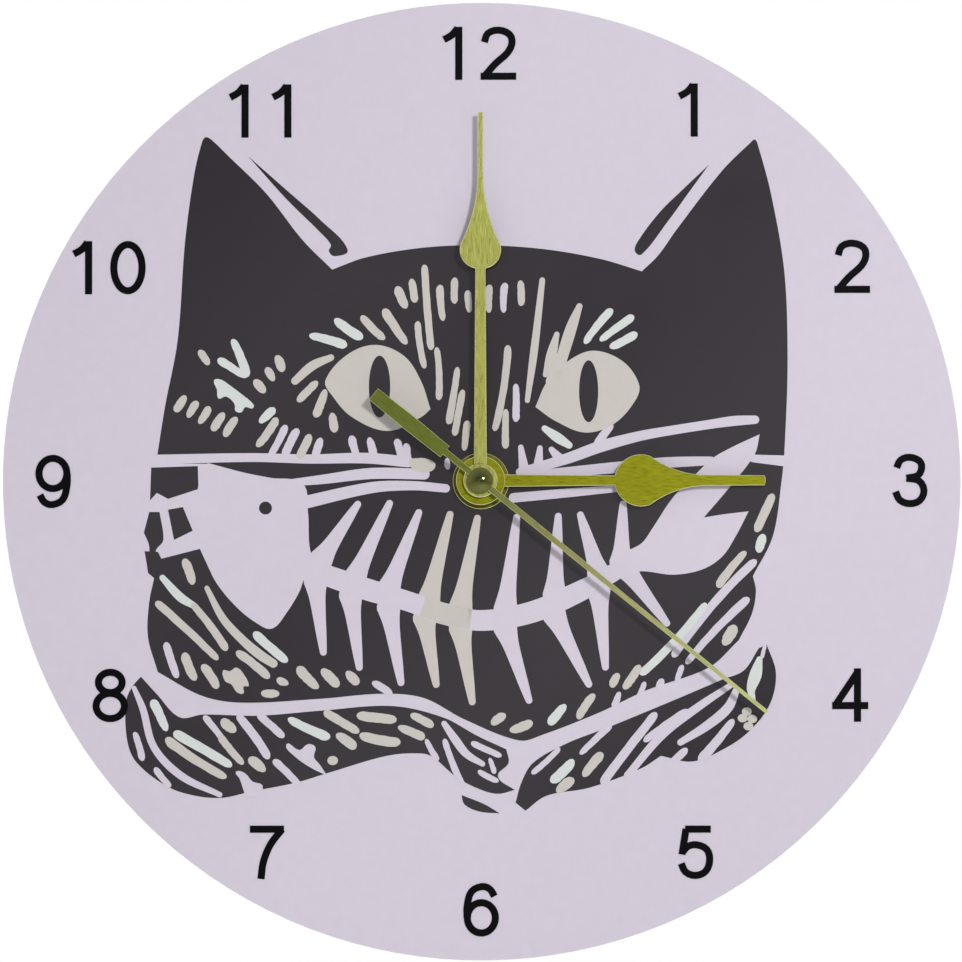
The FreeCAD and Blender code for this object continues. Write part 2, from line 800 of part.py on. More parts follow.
def leaf_hand(name, hub_back, hub, bore, length, stem, leaf, tip, stations):
    """A spade hand that points at twelve: hub, stem, leaf and slender point."""
    body = new_body(name)
    plain_tube(body, bore, hub, hub_back, size(hub_back) + "hub_thick", "hub")
    hub, stem, leaf, tip, length = (size(a) for a in (hub, stem, leaf, tip, length))
    base, low, shoulder, waist, end = stations
    root = hub * 0.8
    blade = new_sketch(body, "blade", size(hub_back) + 0.3)
    outline = [
        (-(stem * 1.25), root),
        (stem * 1.25, root),
        (stem, base),
        (leaf * 0.96, shoulder, leaf * 0.83, low),
        (tip * 1.1, end, tip + leaf * 0.28, waist),
        (tip, length - tip * 0.25),
        (-tip, length - tip * 0.25, 0.0, length),
        (-(tip * 1.1), end),
        (-(leaf * 0.96), shoulder, -(tip + leaf * 0.28), waist),
        (-stem, base, -(leaf * 0.83), low),
    ]
    add_outline(blade, outline)
    pad(body, blade, "hand_thick", "blade_pad")
    return body


def make_hour_hand():
    stations = (35.0, 37.8, 44.2, 50.0, 58.0)
    sizes = ("hour_length", "hour_stem", "hour_leaf", "hour_stem", stations)
    body = leaf_hand("hour_hand", "hour_hub_back", "hour_hub", "hour_shaft", *sizes)
    place(body, turn=90.0)


def make_minute_hand():
    stations = (55.3, 57.2, 61.8, 69.6, 79.0)
    sizes = ("minute_length", "minute_stem", "minute_leaf", "minute_tip", stations)
    body = leaf_hand("minute_hand", "minute_hub_back", "minute_hub", "minute_shaft", *sizes)
    place(body, turn=0.0)


def make_second_hand():
    body = new_body("second_hand")
    sketch = new_sketch(body, "blade", "second_back")
    outline = [
        (-0.85, -11.8),
        (-1.85, -11.8),
        (-2.05, -24.0),
        (-1.85, -size("second_tail")),
        (1.85, -size("second_tail")),
        (2.05, -24.0),
        (1.85, -11.8),
        (0.85, -11.8),
        (0.85, 2.2),
        (0.5, "second_length"),
        (-0.5, "second_length"),
        (-0.85, 2.2),
    ]
    add_outline(sketch, outline)
    pad(body, sketch, "second_thick", "blade_pad")
    plain_tube(body, None, 2.6, "second_back", size("second_back") + "second_thick", "boss")
    hole = new_sketch(body, "hole", "second_back")
    add_circle(hole, 1.0)
    pocket(body, hole, "second_thick", "hole_cut")
    place(body, turn=129.0)
    cap = new_body("second_hand_cap")
    base = size("second_back") + "second_thick"
    profile = [
        ("second_shaft", 25.3),
        (1.0, 25.3),
        (1.0, base),
        ("cap_radius", base),
        ("cap_radius", base + 0.3),
        (0.0, "cap_front", 2.36, base + 1.21),
        (0.0, 26.9),
        ("second_shaft", 26.9),
    ]
    turned(cap, profile)
    place(cap, turn=129.0)


make_dial()
make_face()
make_front_case()
make_rear_cover()
make_middle_plate()
make_fixings()
make_board()
make_coil()
make_stator()
make_contacts()
make_contact_spring()
make_battery()
make_rotor()
make_intermediate()
make_seconds()
make_third()
make_minutes()
make_setting()
make_hour_wheel()
make_hour_hand()
make_minute_hand()
make_second_hand()
doc.recompute()

for item in doc.Objects:
    if "Invalid" in item.State or "Error" in item.State:
        raise RuntimeError("%s has not been built: %s" % (item.Name, item.State))

os.makedirs("parts", exist_ok=True)
for node in nodes:
    shape = node.Shape
    if shape.isNull() or not shape.isValid() or shape.Volume <= 0:
        raise RuntimeError("%s is not a sound solid" % node.Label)
    if len(shape.Solids) != 1:
        raise RuntimeError("%s is %d solids" % (node.Label, len(shape.Solids)))
    shape.exportStep("parts/%s.step" % node.Label)
    print("%-20s %10.2f mm3" % (node.Label, shape.Volume))
print(len(nodes), "nodes")
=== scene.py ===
"""The looks of a round printed wall clock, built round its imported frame.

The dial faces -Y and +Z is up. Drawing on the dial is in millimetres from its centre, x to the right
and z up; everything else is in metres.
"""

import itertools
import math
import random

import bmesh
import bpy
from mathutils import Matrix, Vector
from mathutils.geometry import tessellate_polygon


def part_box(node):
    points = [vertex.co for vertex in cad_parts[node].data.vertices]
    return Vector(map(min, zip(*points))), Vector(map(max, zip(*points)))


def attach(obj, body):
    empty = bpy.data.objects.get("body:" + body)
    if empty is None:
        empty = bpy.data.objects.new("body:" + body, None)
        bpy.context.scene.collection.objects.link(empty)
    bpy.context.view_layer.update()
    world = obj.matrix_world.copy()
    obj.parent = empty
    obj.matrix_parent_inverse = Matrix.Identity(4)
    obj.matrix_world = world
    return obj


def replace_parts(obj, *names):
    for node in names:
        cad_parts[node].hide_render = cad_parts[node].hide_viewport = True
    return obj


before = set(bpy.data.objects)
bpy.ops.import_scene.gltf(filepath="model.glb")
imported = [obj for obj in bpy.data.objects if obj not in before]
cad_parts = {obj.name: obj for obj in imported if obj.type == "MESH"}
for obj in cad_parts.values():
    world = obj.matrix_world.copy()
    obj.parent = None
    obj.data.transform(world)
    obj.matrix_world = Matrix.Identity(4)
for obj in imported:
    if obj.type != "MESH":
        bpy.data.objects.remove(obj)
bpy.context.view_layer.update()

MM = 0.001
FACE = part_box("printed_face")[0].y
DIAL_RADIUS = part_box("printed_face")[1].x
SHARP = True

FIRST_COAT = 0.02 * MM
COAT_STEP = 0.0006 * MM
# In millimetres: how far apart points on a curve lie, and a hole that the washer just covers.
CURVE_STEP = 1.1
POST_CLEARING = 7.2

cutter = random.Random(7)
coats = itertools.count()
inked = {}


# ---- drawing on the film ----


def lay(ink, points, faces):
    """Adds one thin solid of ink. Each one stands a hair higher than the last, so later ink covers it."""
    height = FIRST_COAT + COAT_STEP * next(coats)
    verts, polygons = inked.setdefault(ink, ([], []))
    back = len(verts)
    front = back + len(points)
    verts.extend((x * MM, FACE, z * MM) for x, z in points)
    verts.extend((x * MM, FACE - height, z * MM) for x, z in points)
    rim = set()
    for face in faces:
        polygons.append([front + i for i in face])
        polygons.append([back + i for i in reversed(face)])
        for pair in zip(face, face[1:] + face[:1]):
            if pair[::-1] in rim:
                rim.remove(pair[::-1])
            else:
                rim.add(pair)
    for a, b in sorted(rim):
        polygons.append([back + a, back + b, front + b, front + a])


def flow(nodes, sharp, closed):
    """Points along a smooth curve through the nodes. It turns a corner only where sharp says so."""
    count = len(nodes)
    spans = count if closed else count - 1
    points = []
    for i in range(spans):
        a = nodes[i]
        b = nodes[(i + 1) % count]
        before = nodes[i - 1] if closed or i > 0 else a
        after = nodes[(i + 2) % count] if closed or i + 2 < count else b
        chord = (b - a).length
        leave = b - a if sharp[i] else (b - before).normalized() * chord
        arrive = b - a if sharp[(i + 1) % count] else (after - a).normalized() * chord
        steps = max(3, math.ceil(chord / CURVE_STEP))
        for k in range(steps):
            t = k / steps
            s = 1 - t
            place = a * (s * s * (1 + 2 * t)) + leave * (t * s * s)
            points.append(place + b * (t * t * (3 - 2 * t)) - arrive * (t * t * s))
    if not closed:
        points.append(nodes[-1])
    return points


def traced(outline):
    """Points round a smooth shape. An outline point is (x, z), or (x, z, SHARP) at a corner."""
    nodes = [Vector(p[:2]) for p in outline]
    sharp = [len(p) == 3 for p in outline]
    return [tuple(p) for p in flow(nodes, sharp, True)]


def round_angles(steps):
    """Angles spaced evenly round a full turn."""
    return [math.tau * i / steps for i in range(steps)]


def blob(ink, *outline):
    """A filled shape."""
    points = traced(outline)
    lay(ink, points, [list(range(len(points)))])


def pierced(ink, radius, *outline, steps=64):
    """A filled shape like blob, with a round hole at the centre of the dial for the hands' post."""
    rim = traced(outline)
    hole = [(radius * math.cos(a), radius * math.sin(a)) for a in round_angles(steps)]
    points = rim + hole
    faces = []
    for i, j, k in tessellate_polygon([[Vector((x, z, 0)) for x, z in loop] for loop in (rim, hole)]):
        turn = (Vector(points[j]) - Vector(points[i])).cross(Vector(points[k]) - Vector(points[i]))
        faces.append([i, j, k] if turn > 0 else [i, k, j])
    lay(ink, points, faces)


def oval(ink, x, z, half_width, half_height, steps=36):
    """A filled ellipse."""
    points = [(x + half_width * math.cos(a), z + half_height * math.sin(a)) for a in round_angles(steps)]
    lay(ink, points, [list(range(steps))])


def strip(ink, line, closed=False):
    """A band along a line of (place, half width) pairs."""
    count = len(line)
    left = []
    right = []
    for i, (place, half) in enumerate(line):
        before = line[i - 1][0] if closed or i > 0 else place
        after = line[(i + 1) % count][0] if closed or i + 1 < count else place
        along = (after - before).normalized()
        across = Vector((-along.y, along.x)) * half
        left.append(tuple(place + across))
        right.append(tuple(place - across))
    last = count if closed else count - 1
    steps = [(i, (i + 1) % count) for i in range(last)]
    faces = [[i, j, count + j, count + i] for i, j in steps]
    lay(ink, left + right, faces)


def ribbon(ink, *stations, round_start=True, round_end=True):
    """A band through (x, z, width) stations, smooth, with round or square ends."""
    nodes = [Vector(s) for s in stations]
    path = flow(nodes, [False] * len(nodes), False)
    line = [(Vector(p[:2]), p[2] / 2) for p in path]
    if round_start:
        line = rounded_start(line)
    if round_end:
        line = rounded_start(line[::-1])[::-1]
    strip(ink, line)


def rounded_start(line, steps=5):
    """The same band with a half-round end before its first place."""
    first, half = line[0]
    outward = (first - line[1][0]).normalized() * half
    angles = [math.radians(88) * (steps - i) / steps for i in range(steps)]
    end = [(first + outward * math.sin(a), half * math.cos(a)) for a in angles]
    return end + line


def tick(ink, x0, z0, x1, z1, width=2.0, steps=16):
    """One gouged stroke: round at both ends, slightly bowed and never quite even."""
    start = Vector((x0, z0))
    along = Vector((x1, z1)) - start
    across = Vector((-along.y, along.x)).normalized()
    bow = cutter.uniform(-0.03, 0.03) * along.length
    swell = cutter.uniform(-0.3, 0.3)
    rounding = width * 0.85 / along.length
    left = []
    right = []
    for i in range(steps + 1):
        t = (1 - math.cos(math.pi * i / steps)) / 2
        inward = min(1, t / rounding, (1 - t) / rounding)
        fullness = math.sqrt(1 - (1 - inward) ** 2)
        centre = start + along * t + across * (bow * 4 * t * (1 - t))
        half = width / 2 * fullness * (1 + swell * (t - 0.5))
        left.append(tuple(centre + across * half * cutter.uniform(0.94, 1.06)))
        right.append(tuple(centre - across * half * cutter.uniform(0.94, 1.06)))
    points = left + right[-2:0:-1]
    lay(ink, points, [list(range(len(points)))])


def fan(inks, count, first, last, width=2.1, spread=0.35):
    """A row of ticks, from the first (x0, z0, x1, z1) to the last, spaced evenly by eye."""
    for i in range(count):
        t = i / (count - 1)
        ends = [a + (b - a) * t + cutter.uniform(-spread, spread) for a, b in zip(first, last)]
        tick(inks[i % len(inks)], *ends, width=width * cutter.uniform(0.9, 1.12))


# ---- the picture: a cat with a fish bone, block-print style ----


def draw_head():
    """Ears, crown, cheeks and chest in one black shape, and a loose sliver inside each ear."""
    left_ear = [(-84.6, 6.9, SHARP), (-82.6, 19.5), (-79.3, 37), (-77.4, 62.5), (-75, 80.3)]
    left_ear += [(-73, 88.6), (-72.1, 90), (-70.7, 89.5), (-65.9, 84.9), (-56.2, 75.3), (-46.6, 63)]
    left_ear += [(-38.9, 55.3, SHARP)]
    crown = [(-30, 58.5), (-15, 61), (0, 61.6), (16, 60.6), (31, 58), (42, 54.7, SHARP)]
    right_ear = [(46.3, 58.9), (51.3, 65.9), (63, 81), (70.5, 88.4), (71.5, 89.1), (72.2, 88), (75.8, 74.5)]
    right_side = [(79.2, 54.2), (80, 31.2), (79.2, 8.7), (78.4, -0.1), (76.1, -14.5), (70.9, -24.9, SHARP)]
    right_side += [(71.7, -28.8), (70.6, -34.8), (67.2, -41.6, SHARP)]
    chest = [(59.4, -48.7), (43, -54.7), (30.9, -60.4), (16.1, -66.2), (10, -67.7), (-4.3, -62.2)]
    chest += [(-15, -56.6), (-25.7, -55.5), (-41.9, -56.8), (-62.7, -57.8), (-72.9, -56)]
    chest += [(-84.4, -49.8, SHARP)]
    left_side = [(-87, -40.6), (-86.7, -31.7), (-85.4, -25.3, SHARP), (-87, -23.9, SHARP), (-88.3, -13.4)]
    left_side += [(-86.5, -5, SHARP), (-86.2, 3.6, SHARP)]
    pierced("black", POST_CLEARING, *left_ear, *crown, *right_ear, *right_side, *chest, *left_side)
    left_sliver = [(-60.9, 85, SHARP), (-50.7, 76), (-41.9, 68.2), (-34.8, 60.4), (-38.4, 58.8)]
    left_sliver += [(-39.8, 60.2), (-39.2, 61.7), (-42, 65), (-50.9, 73.8)]
    blob("black", *left_sliver)
    right_sliver = [(59.6, 82.6, SHARP), (52.2, 75.6), (46.8, 70.3), (41.6, 63.5), (40.1, 60.2)]
    right_sliver += [(41.8, 59), (48.7, 67.6), (54.5, 75.6)]
    blob("black", *right_sliver)


def draw_paws():
    """The two folded paws under the chest, and the tuft where they meet."""
    top = [(-88.8, -51, SHARP), (-84.7, -55.5), (-78.7, -61.6), (-72.7, -60.9), (-58.3, -61.2)]
    top += [(-41.9, -59.9)]
    top += [(-23.1, -58.7), (-9.8, -61.7), (-1.1, -66.4), (6.6, -70, SHARP)]
    tuft = [(7.2, -73.6), (4.4, -77), (8.8, -80.6, SHARP), (4.3, -81.6), (-0.6, -80.3), (-6.3, -77.3)]
    tuft += [(-12.1, -72.2, SHARP)]
    under = [(-15, -71.1), (-24.1, -71.6), (-39.8, -76.1), (-48.4, -78.7), (-60.1, -81), (-67.4, -82.6)]
    under += [(-74.5, -82.1), (-81.8, -79.7), (-90.1, -73.2), (-92.5, -67), (-92.6, -57), (-90.7, -53.1)]
    blob("black", *top, *tuft, *under)
    blob("black", (-5.1, -81.9, SHARP), (0.9, -84.3), (4.9, -86.7, SHARP), (-0.5, -86.2), (-4.3, -84.4))
    right_under = [(9, -83.9, SHARP), (11.6, -86, SHARP), (17.1, -82.1), (28.3, -80), (41.7, -75)]
    right_under += [(46.9, -71.7, SHARP), (55, -73.2), (63, -70.1), (69.6, -65.6), (75.2, -58.5)]
    right_top = [(76.9, -50.2), (74.5, -42.7, SHARP), (72.4, -43.7, SHARP), (68.5, -49.5), (63, -51.8)]
    right_top += [(50.8, -57), (33.6, -64.1), (22.3, -68.5), (13.6, -73.5), (10.6, -78.5)]
    blob("black", *right_under, *right_top)


def draw_collar():
    """The pale break left of the fish, with its three dark blocks."""
    blob("lilac", (-92, 4.6, SHARP), (-71, 4.6, SHARP), (-71, -17, SHARP), (-83.5, -20.2, SHARP),
         (-84.4, -18.4, SHARP), (-92, -18, SHARP))
    blob("black", (-86.2, 3.6, SHARP), (-74, 4, SHARP), (-73.8, -2, SHARP), (-81.8, -4.6, SHARP),
         (-84.7, -3, SHARP), (-86.5, -5, SHARP))
    blob("black", (-86.7, -8, SHARP), (-84, -8, SHARP), (-83, -15.4), (-85, -18.2), (-83.6, -20.6, SHARP),
         (-85.4, -25.3, SHARP), (-87, -23.9, SHARP), (-86.7, -17), (-88.1, -13.4, SHARP))
    blob("black", (-81.8, -7.4, SHARP), (-77.9, -6.7, SHARP), (-75.3, -12.9, SHARP), (-80.2, -15.3, SHARP))


def draw_fish():
    """A fish bone: head, curved spine, paired ribs and tail."""
    gill = [(-71.4, 4.8, SHARP), (-62, 2.3), (-55, 0.9), (-46.6, -0.6), (-45.2, -8), (-44.4, -18.8)]
    gill += [(-40, -26.5), (-46.4, -25.9, SHARP), (-47.4, -28.8), (-50.8, -34.4), (-54.6, -38.5)]
    belly = [(-58.8, -36.9), (-64, -32.7), (-69, -26.7), (-72.1, -20.5), (-74, -16.4, SHARP), (-74, -2)]
    blob("lilac", *gill, *belly)
    above = [(-41.6, -20.2, -31.9, -5.6), (-33, -25.4, -23.6, -5.2), (-24.1, -28.1, -16, -7.6)]
    above += [(-13.7, -31.2, -7.9, -8), (-5.3, -32.8, -0.8, -9), (6.4, -33.3, 9.4, -8.8)]
    above += [(19.2, -29.6, 20.2, -8.6), (30.7, -24.1, 25.8, -8.4), (36.6, -21, 37.1, -5.6)]
    below = [(-43.2, -26.2, -41.1, -45.2), (-34, -29.9, -31.7, -49.2), (-24.1, -33, -20.8, -53.2)]
    below += [(-14.7, -35.9, -11.6, -53.6), (-5.3, -38.5, -2.2, -58.2), (6.4, -38.5, 12.7, -57.8)]
    below += [(19.2, -35.1, 28.4, -53.6), (30.7, -28.7, 32.5, -49.2), (37.5, -22.5, 48.8, -37.6)]
    for bone in above + below:
        draw_rib("cream" if bone in (above[3], above[4], below[3], below[4]) else "lilac", *bone)
    spine = [(-42, -24, 5.4), (-29.3, -28.4, 5.7), (-19, -31.4, 5.2), (-9.8, -34.6, 5.6), (0, -36.4, 5.4)]
    ribbon("lilac", *spine, (13, -34.3, 5.6), (25, -29.2, 5.4), (34, -24.3, 4.6), (41, -19.5, 4.4))
    middle = [(-15.2, -32.7, 5.3), (-8, -35.1, 5.5), (-2.6, -36, 5.4)]
    ribbon("cream", *middle, round_start=False, round_end=False)
    tail = [(34, -21.5, SHARP), (38.4, -18.2, SHARP), (42, -16.2), (44.6, -12.6), (50, -4.5)]
    tail += [(56.7, 2.4), (60.6, 6), (66, 9), (72.7, 12.1, SHARP), (71.4, 6.9), (64.6, -2)]
    tail += [(58.1, -9.6, SHARP), (63, -8.8), (69.8, -8, SHARP), (66.7, -14), (63, -19.7)]
    tail += [(57.8, -23.1), (50.3, -24.5), (41.7, -23.6)]
    blob("lilac", *tail, (36, -25, SHARP))
    oval("black", -56.3, -7, 1.7, 1.7, steps=20)


def draw_rib(ink, x0, z0, x1, z1):
    """One bone, broad where it leaves the spine and slender at its tip."""
    root = Vector((x0, z0))
    reach = Vector((x1, z1)) - root
    widths = ((0, 6.2), (0.2, 4.4), (0.5, 3.3), (0.75, 2.6), (0.97, 1.8))
    ribbon(ink, *((*(root + reach * t), width) for t, width in widths))


def draw_whiskers():
    """The long whiskers each side of the nose and the short hairs that start from them."""
    ribbon("lilac", (-91, 5.4, 3), (-84, 5.7, 2.6), (-60, 6.2, 2.3), (-45, 5.8, 2.4), (-30, 6, 2.8),
           (-19, 5, 2.8))
    ribbon("lilac", (-52, -0.6, 1.6), (-42, 0.4, 2.4), (-28.6, 2, 2.9), (-14.8, 1.8, 2.8))
    blob("cream", (-19, 5.2), (-16.4, 6), (-14, 5.8), (-12, 4.6), (-12.2, 3.2), (-13.6, 2.4), (-17, 2.6))
    ribbon("lilac", (-48, -6, 3.4), (-28.6, -1.7, 2.9), (-18, -1.2, 2.4), (-9.2, -1.9, 2.2))
    ribbon("lilac", (10.2, 2.3, 2.2), (22.4, 5.8, 2.8), (31, 8.9, 3), (41.5, 11.7, 2.6), (50, 13.2, 2.4),
           (60.3, 14.8, 2.4), (66, 15.6, 2.6), (71.5, 15.9, 2.2))
    ribbon("lilac", (11.4, 1.7, 1.6), (19.5, 2.1, 2.4), (35.4, 3.5, 2.9), (47.6, 4.7, 2.8), (54, 5, 2.6),
           (60, 5.2, 2.2))
    ribbon("lilac", (8.5, -4.4, 2.5), (22, -3.2, 2.3), (36, -2, 1.7))
    ribbon("lilac", (71, 5.8, 2), (81, 5, 3))
    fan(["lilac"], 2, (-33.9, 12, -32.4, 6), (-29.2, 11.4, -27.8, 6), width=2, spread=0.1)
    fan(["lilac"], 2, (-22, 11, -20.6, 5), (-19.6, 10, -18.8, 5), width=2, spread=0.1)
    ribbon("lilac", (10.4, 8.8, 1.4), (11.3, 2.6, 2.8))
    ribbon("lilac", (15.4, 8.6, 1.4), (14.9, 3.6, 2.7))
    ribbon("lilac", (18.4, 8.2, 1.5), (20.3, 6, 2.6))
    tick("lilac", 34.3, 15, 29.6, 8.2, 2.2)
    tick("lilac", -8.9, 6, -8.6, 3, 1.5)


def draw_eyes():
    """Two almond eyes with upright pupils."""
    left = [(-40.7, 26.2), (-35, 33), (-27.5, 35.6), (-20, 32.6), (-15.6, 26), (-13.2, 18.8, SHARP)]
    blob("cream", *left, (-15.6, 16.7), (-24.4, 13.1), (-33.8, 16.8), (-38.9, 22.4))
    right = [(14.2, 19.3, SHARP), (17.3, 26), (22.9, 31.4), (29.4, 34), (37, 31.2), (41.2, 25.4)]
    blob("cream", *right, (40.6, 21.5), (34.9, 15), (27.3, 12.6), (19.5, 15.6))
    ribbon("cream", (18.4, 26, 3), (20.4, 30.4, 3.4), (22, 35, 2.4))
    oval("black", -26.5, 24.7, 2.8, 8.1)
    oval("black", 28.1, 23.4, 2.5, 8.1)


def fur_on_forehead():
    """Short upright strokes along the crown and longer ones down to the nose."""
    tick("cream", -22, 50.9, -19.5, 45.1, 2.4)
    tick("cream", -18.2, 52.9, -17.2, 46.6, 2)
    tick("cream", -14.8, 56.6, -13, 34.2, 1.9)
    tick("cream", -10.7, 51.3, -9.9, 41.8, 1.9)
    tick("cream", -6.8, 53.2, -6.9, 46.3, 1.9)
    fan(["cream"], 3, (-3.7, 49.8, -2.9, 43.8), (2.4, 51.4, 2, 44), width=1.8, spread=0.2)
    tick("lilac", 6.3, 51.8, 5.9, 43.9, 1.8)
    tick("cream", 10.3, 52.4, 10.5, 45.7, 1.9)
    ribbon("cream", (16, 52.4, 1.5), (14.6, 40, 1.9), (13.6, 31.9, 2), (12.1, 21, 1.3))
    tick("cream", -16.6, 41.8, -14.7, 29.4, 1.7)
    tick("cream", -11.6, 35, -11, 21.1, 1.7)
    tick("cream", -6.1, 29.8, -8.5, 14.8, 1.8)
    tick("cream", -4.7, 23.9, -6.9, 11.8, 1.8)
    tick("cream", -3.5, 15.8, -4.4, 7.9, 1.8)
    tick("cream", 7.1, 35.5, 3.5, 13, 1.9)
    tick("lilac", 9.1, 25.4, 9.1, 15.4, 1.8)
    tick("cream", 6.5, 18.8, 6.4, 8.4, 1.8)


def fur_on_brows():
    """Slanting strokes above and beside each eye."""
    fan(["mint"], 2, (-45, 38.2, -35, 35.4), (-38.4, 42.4, -31, 37.2), width=2.3, spread=0.1)
    fan(["cream"], 2, (-31.4, 43.2, -25.1, 37), (-25.5, 44.9, -19.3, 35.8), width=2.2, spread=0.1)
    ribbon("cream", (-48.6, 26.2, 2), (-44, 30.2, 2.4), (-39.2, 32.3, 1.7))
    fan(["cream"], 2, (-48, 20.8, -42.6, 26.2), (-43.3, 16.6, -40.5, 24), width=2.2, spread=0.1)
    tick("cream", -38.9, 17.9, -38.2, 12.7, 2.2)
    ribbon("cream", (25.7, 45.6, 1.6), (23.6, 40, 2.9), (21.2, 32.4, 3))
    ribbon("cream", (19.8, 38.3, 1.4), (18.4, 33, 2.6), (16.8, 27.7, 1.3))
    tick("mint", 34.3, 44.9, 27, 35.8, 2)
    tick("mint", 39.9, 43.1, 31, 36.6, 2)
    tick("mint", 40.8, 38.6, 33.6, 34.8, 2.2)


def fur_on_cheeks():
    """Patches of strokes on the left cheek and one beside the nose."""
    tick("cream", -73.7, 34.3, -71.1, 30.4, 2)
    fan(["cream"], 3, (-59, 26.6, -56.6, 23), (-53.6, 33, -51.6, 28.8), width=2.3, spread=0.3)
    tick("mint", -65, 37.2, -61, 27.2, 2.2)
    tick("mint", -68.8, 32, -61.2, 27.2, 2)
    blob("mint", (-69.8, 26.4), (-68, 26.6), (-65.8, 25.2), (-62.6, 22.8), (-59.4, 20), (-59.8, 19),
         (-61.6, 19.4), (-62.6, 18), (-64.2, 18.4), (-64.4, 20.2), (-66.6, 22.2), (-68.6, 21.6), (-69, 24))
    fan(["cream"], 5, (-77.2, 22.3, -79.8, 18.2), (-64, 16.6, -67.2, 11.4), width=2.2, spread=0.3)
    tick("mint", -53.8, 19.1, -57.9, 15.3, 2.2)
    tick("cream", -53.2, 16.6, -58.6, 9, 2.1)
    fan(["lilac", "lilac", "cream", "lilac"], 4, (-50.7, 14.8, -55.2, 6), (-41.6, 11.2, -43.8, 5.8),
        spread=0.2)
    ribbon("mint", (16.6, 13.7, 1.6), (20, 11.3, 2.6), (23, 9.3, 1.8))


def fur_on_chest():
    """Strokes that follow the shoulders down to the fold."""
    tick("cream", -77.6, -20.2, -75.2, -27, 2.3)
    ribbon("mint", (-83.2, -25.2, 1.6), (-78.6, -30.2, 2.3), (-74.8, -32.6, 1.6))
    tick("cream", -75.6, -31.8, -66.3, -44.2, 2)
    ribbon("cream", (-71.6, -27.9, 1.3), (-67.4, -35.8, 2), (-62, -41.7, 2.3), (-57.6, -45.4, 2.5),
           (-54.2, -47.6, 2.2))
    tick("cream", -85, -31.4, -68.6, -46.6, 2)
    tick("mint", -59.4, -39.4, -50.5, -47.2, 2.3)
    tick("cream", -63.9, -44.4, -55.2, -51.4, 2.2)
    tick("lilac", -82.4, -42, -79.3, -51.4, 2)
    fan(["cream"], 2, (-77.5, -44.7, -74.6, -52), (-72.8, -47.8, -68.6, -54.2), width=2.3, spread=0.1)
    blob("cream", (-67.4, -49.4), (-65.6, -49.6), (-63.8, -48.6), (-61.8, -50.6), (-60.6, -53.4),
         (-62, -53.6), (-62, -55.4), (-63.8, -55), (-65.2, -53), (-66.8, -52.2))
    fan(["cream"], 2, (-53.4, -51.6, -50.2, -52.9), (-57.4, -55.4, -52.6, -55.5), width=2.1, spread=0.1)
    fan(["cream"], 3, (-47.8, -48.3, -42.6, -54.2), (-35.3, -49.5, -32, -53), width=2.4, spread=0.2)
    tick("lilac", -28.4, -52.4, -23.2, -55.8, 2)
    tick("cream", 76.2, -3.4, 71.7, -13.4, 2.3)
    tick("mint", 73.7, -13.9, 72.3, -18.8, 2.4)
    tick("cream", 69.1, -18.4, 61.6, -27.8, 2.1)
    tick("lilac", 71.8, -20.6, 49.9, -46, 2.2)
    tick("lilac", 69.9, -30.5, 53.4, -47.8, 2)
    tick("cream", 66.4, -37.7, 63.2, -42.9, 2.9)
    tick("mint", 58.8, -31.9, 41.5, -50.6, 2.1)
    fan(["cream"], 2, (41.6, -48, 37.2, -54.4), (35.9, -50.2, 34, -53.8), width=2.2, spread=0.1)
    fan(["cream", "mint"], 2, (29.6, -55.5, 25.2, -62.2), (22.1, -58.3, 17.6, -63.5), width=2.3, spread=0.1)
    tick("cream", 13.5, -62.9, 7.5, -65.2, 2.4)
    tick("cream", 6.4, -60.8, 2.7, -63.5, 2.4)
    tick("lilac", 36.2, -55, 34.6, -59.4, 1.7)
    tick("lilac", 42.8, -52.4, 41, -56.6, 1.4)
    tick("lilac", 47.4, -51.6, 46, -54.8, 1.9)
    tick("lilac", 52.6, -48, 51, -52.6, 1.5)


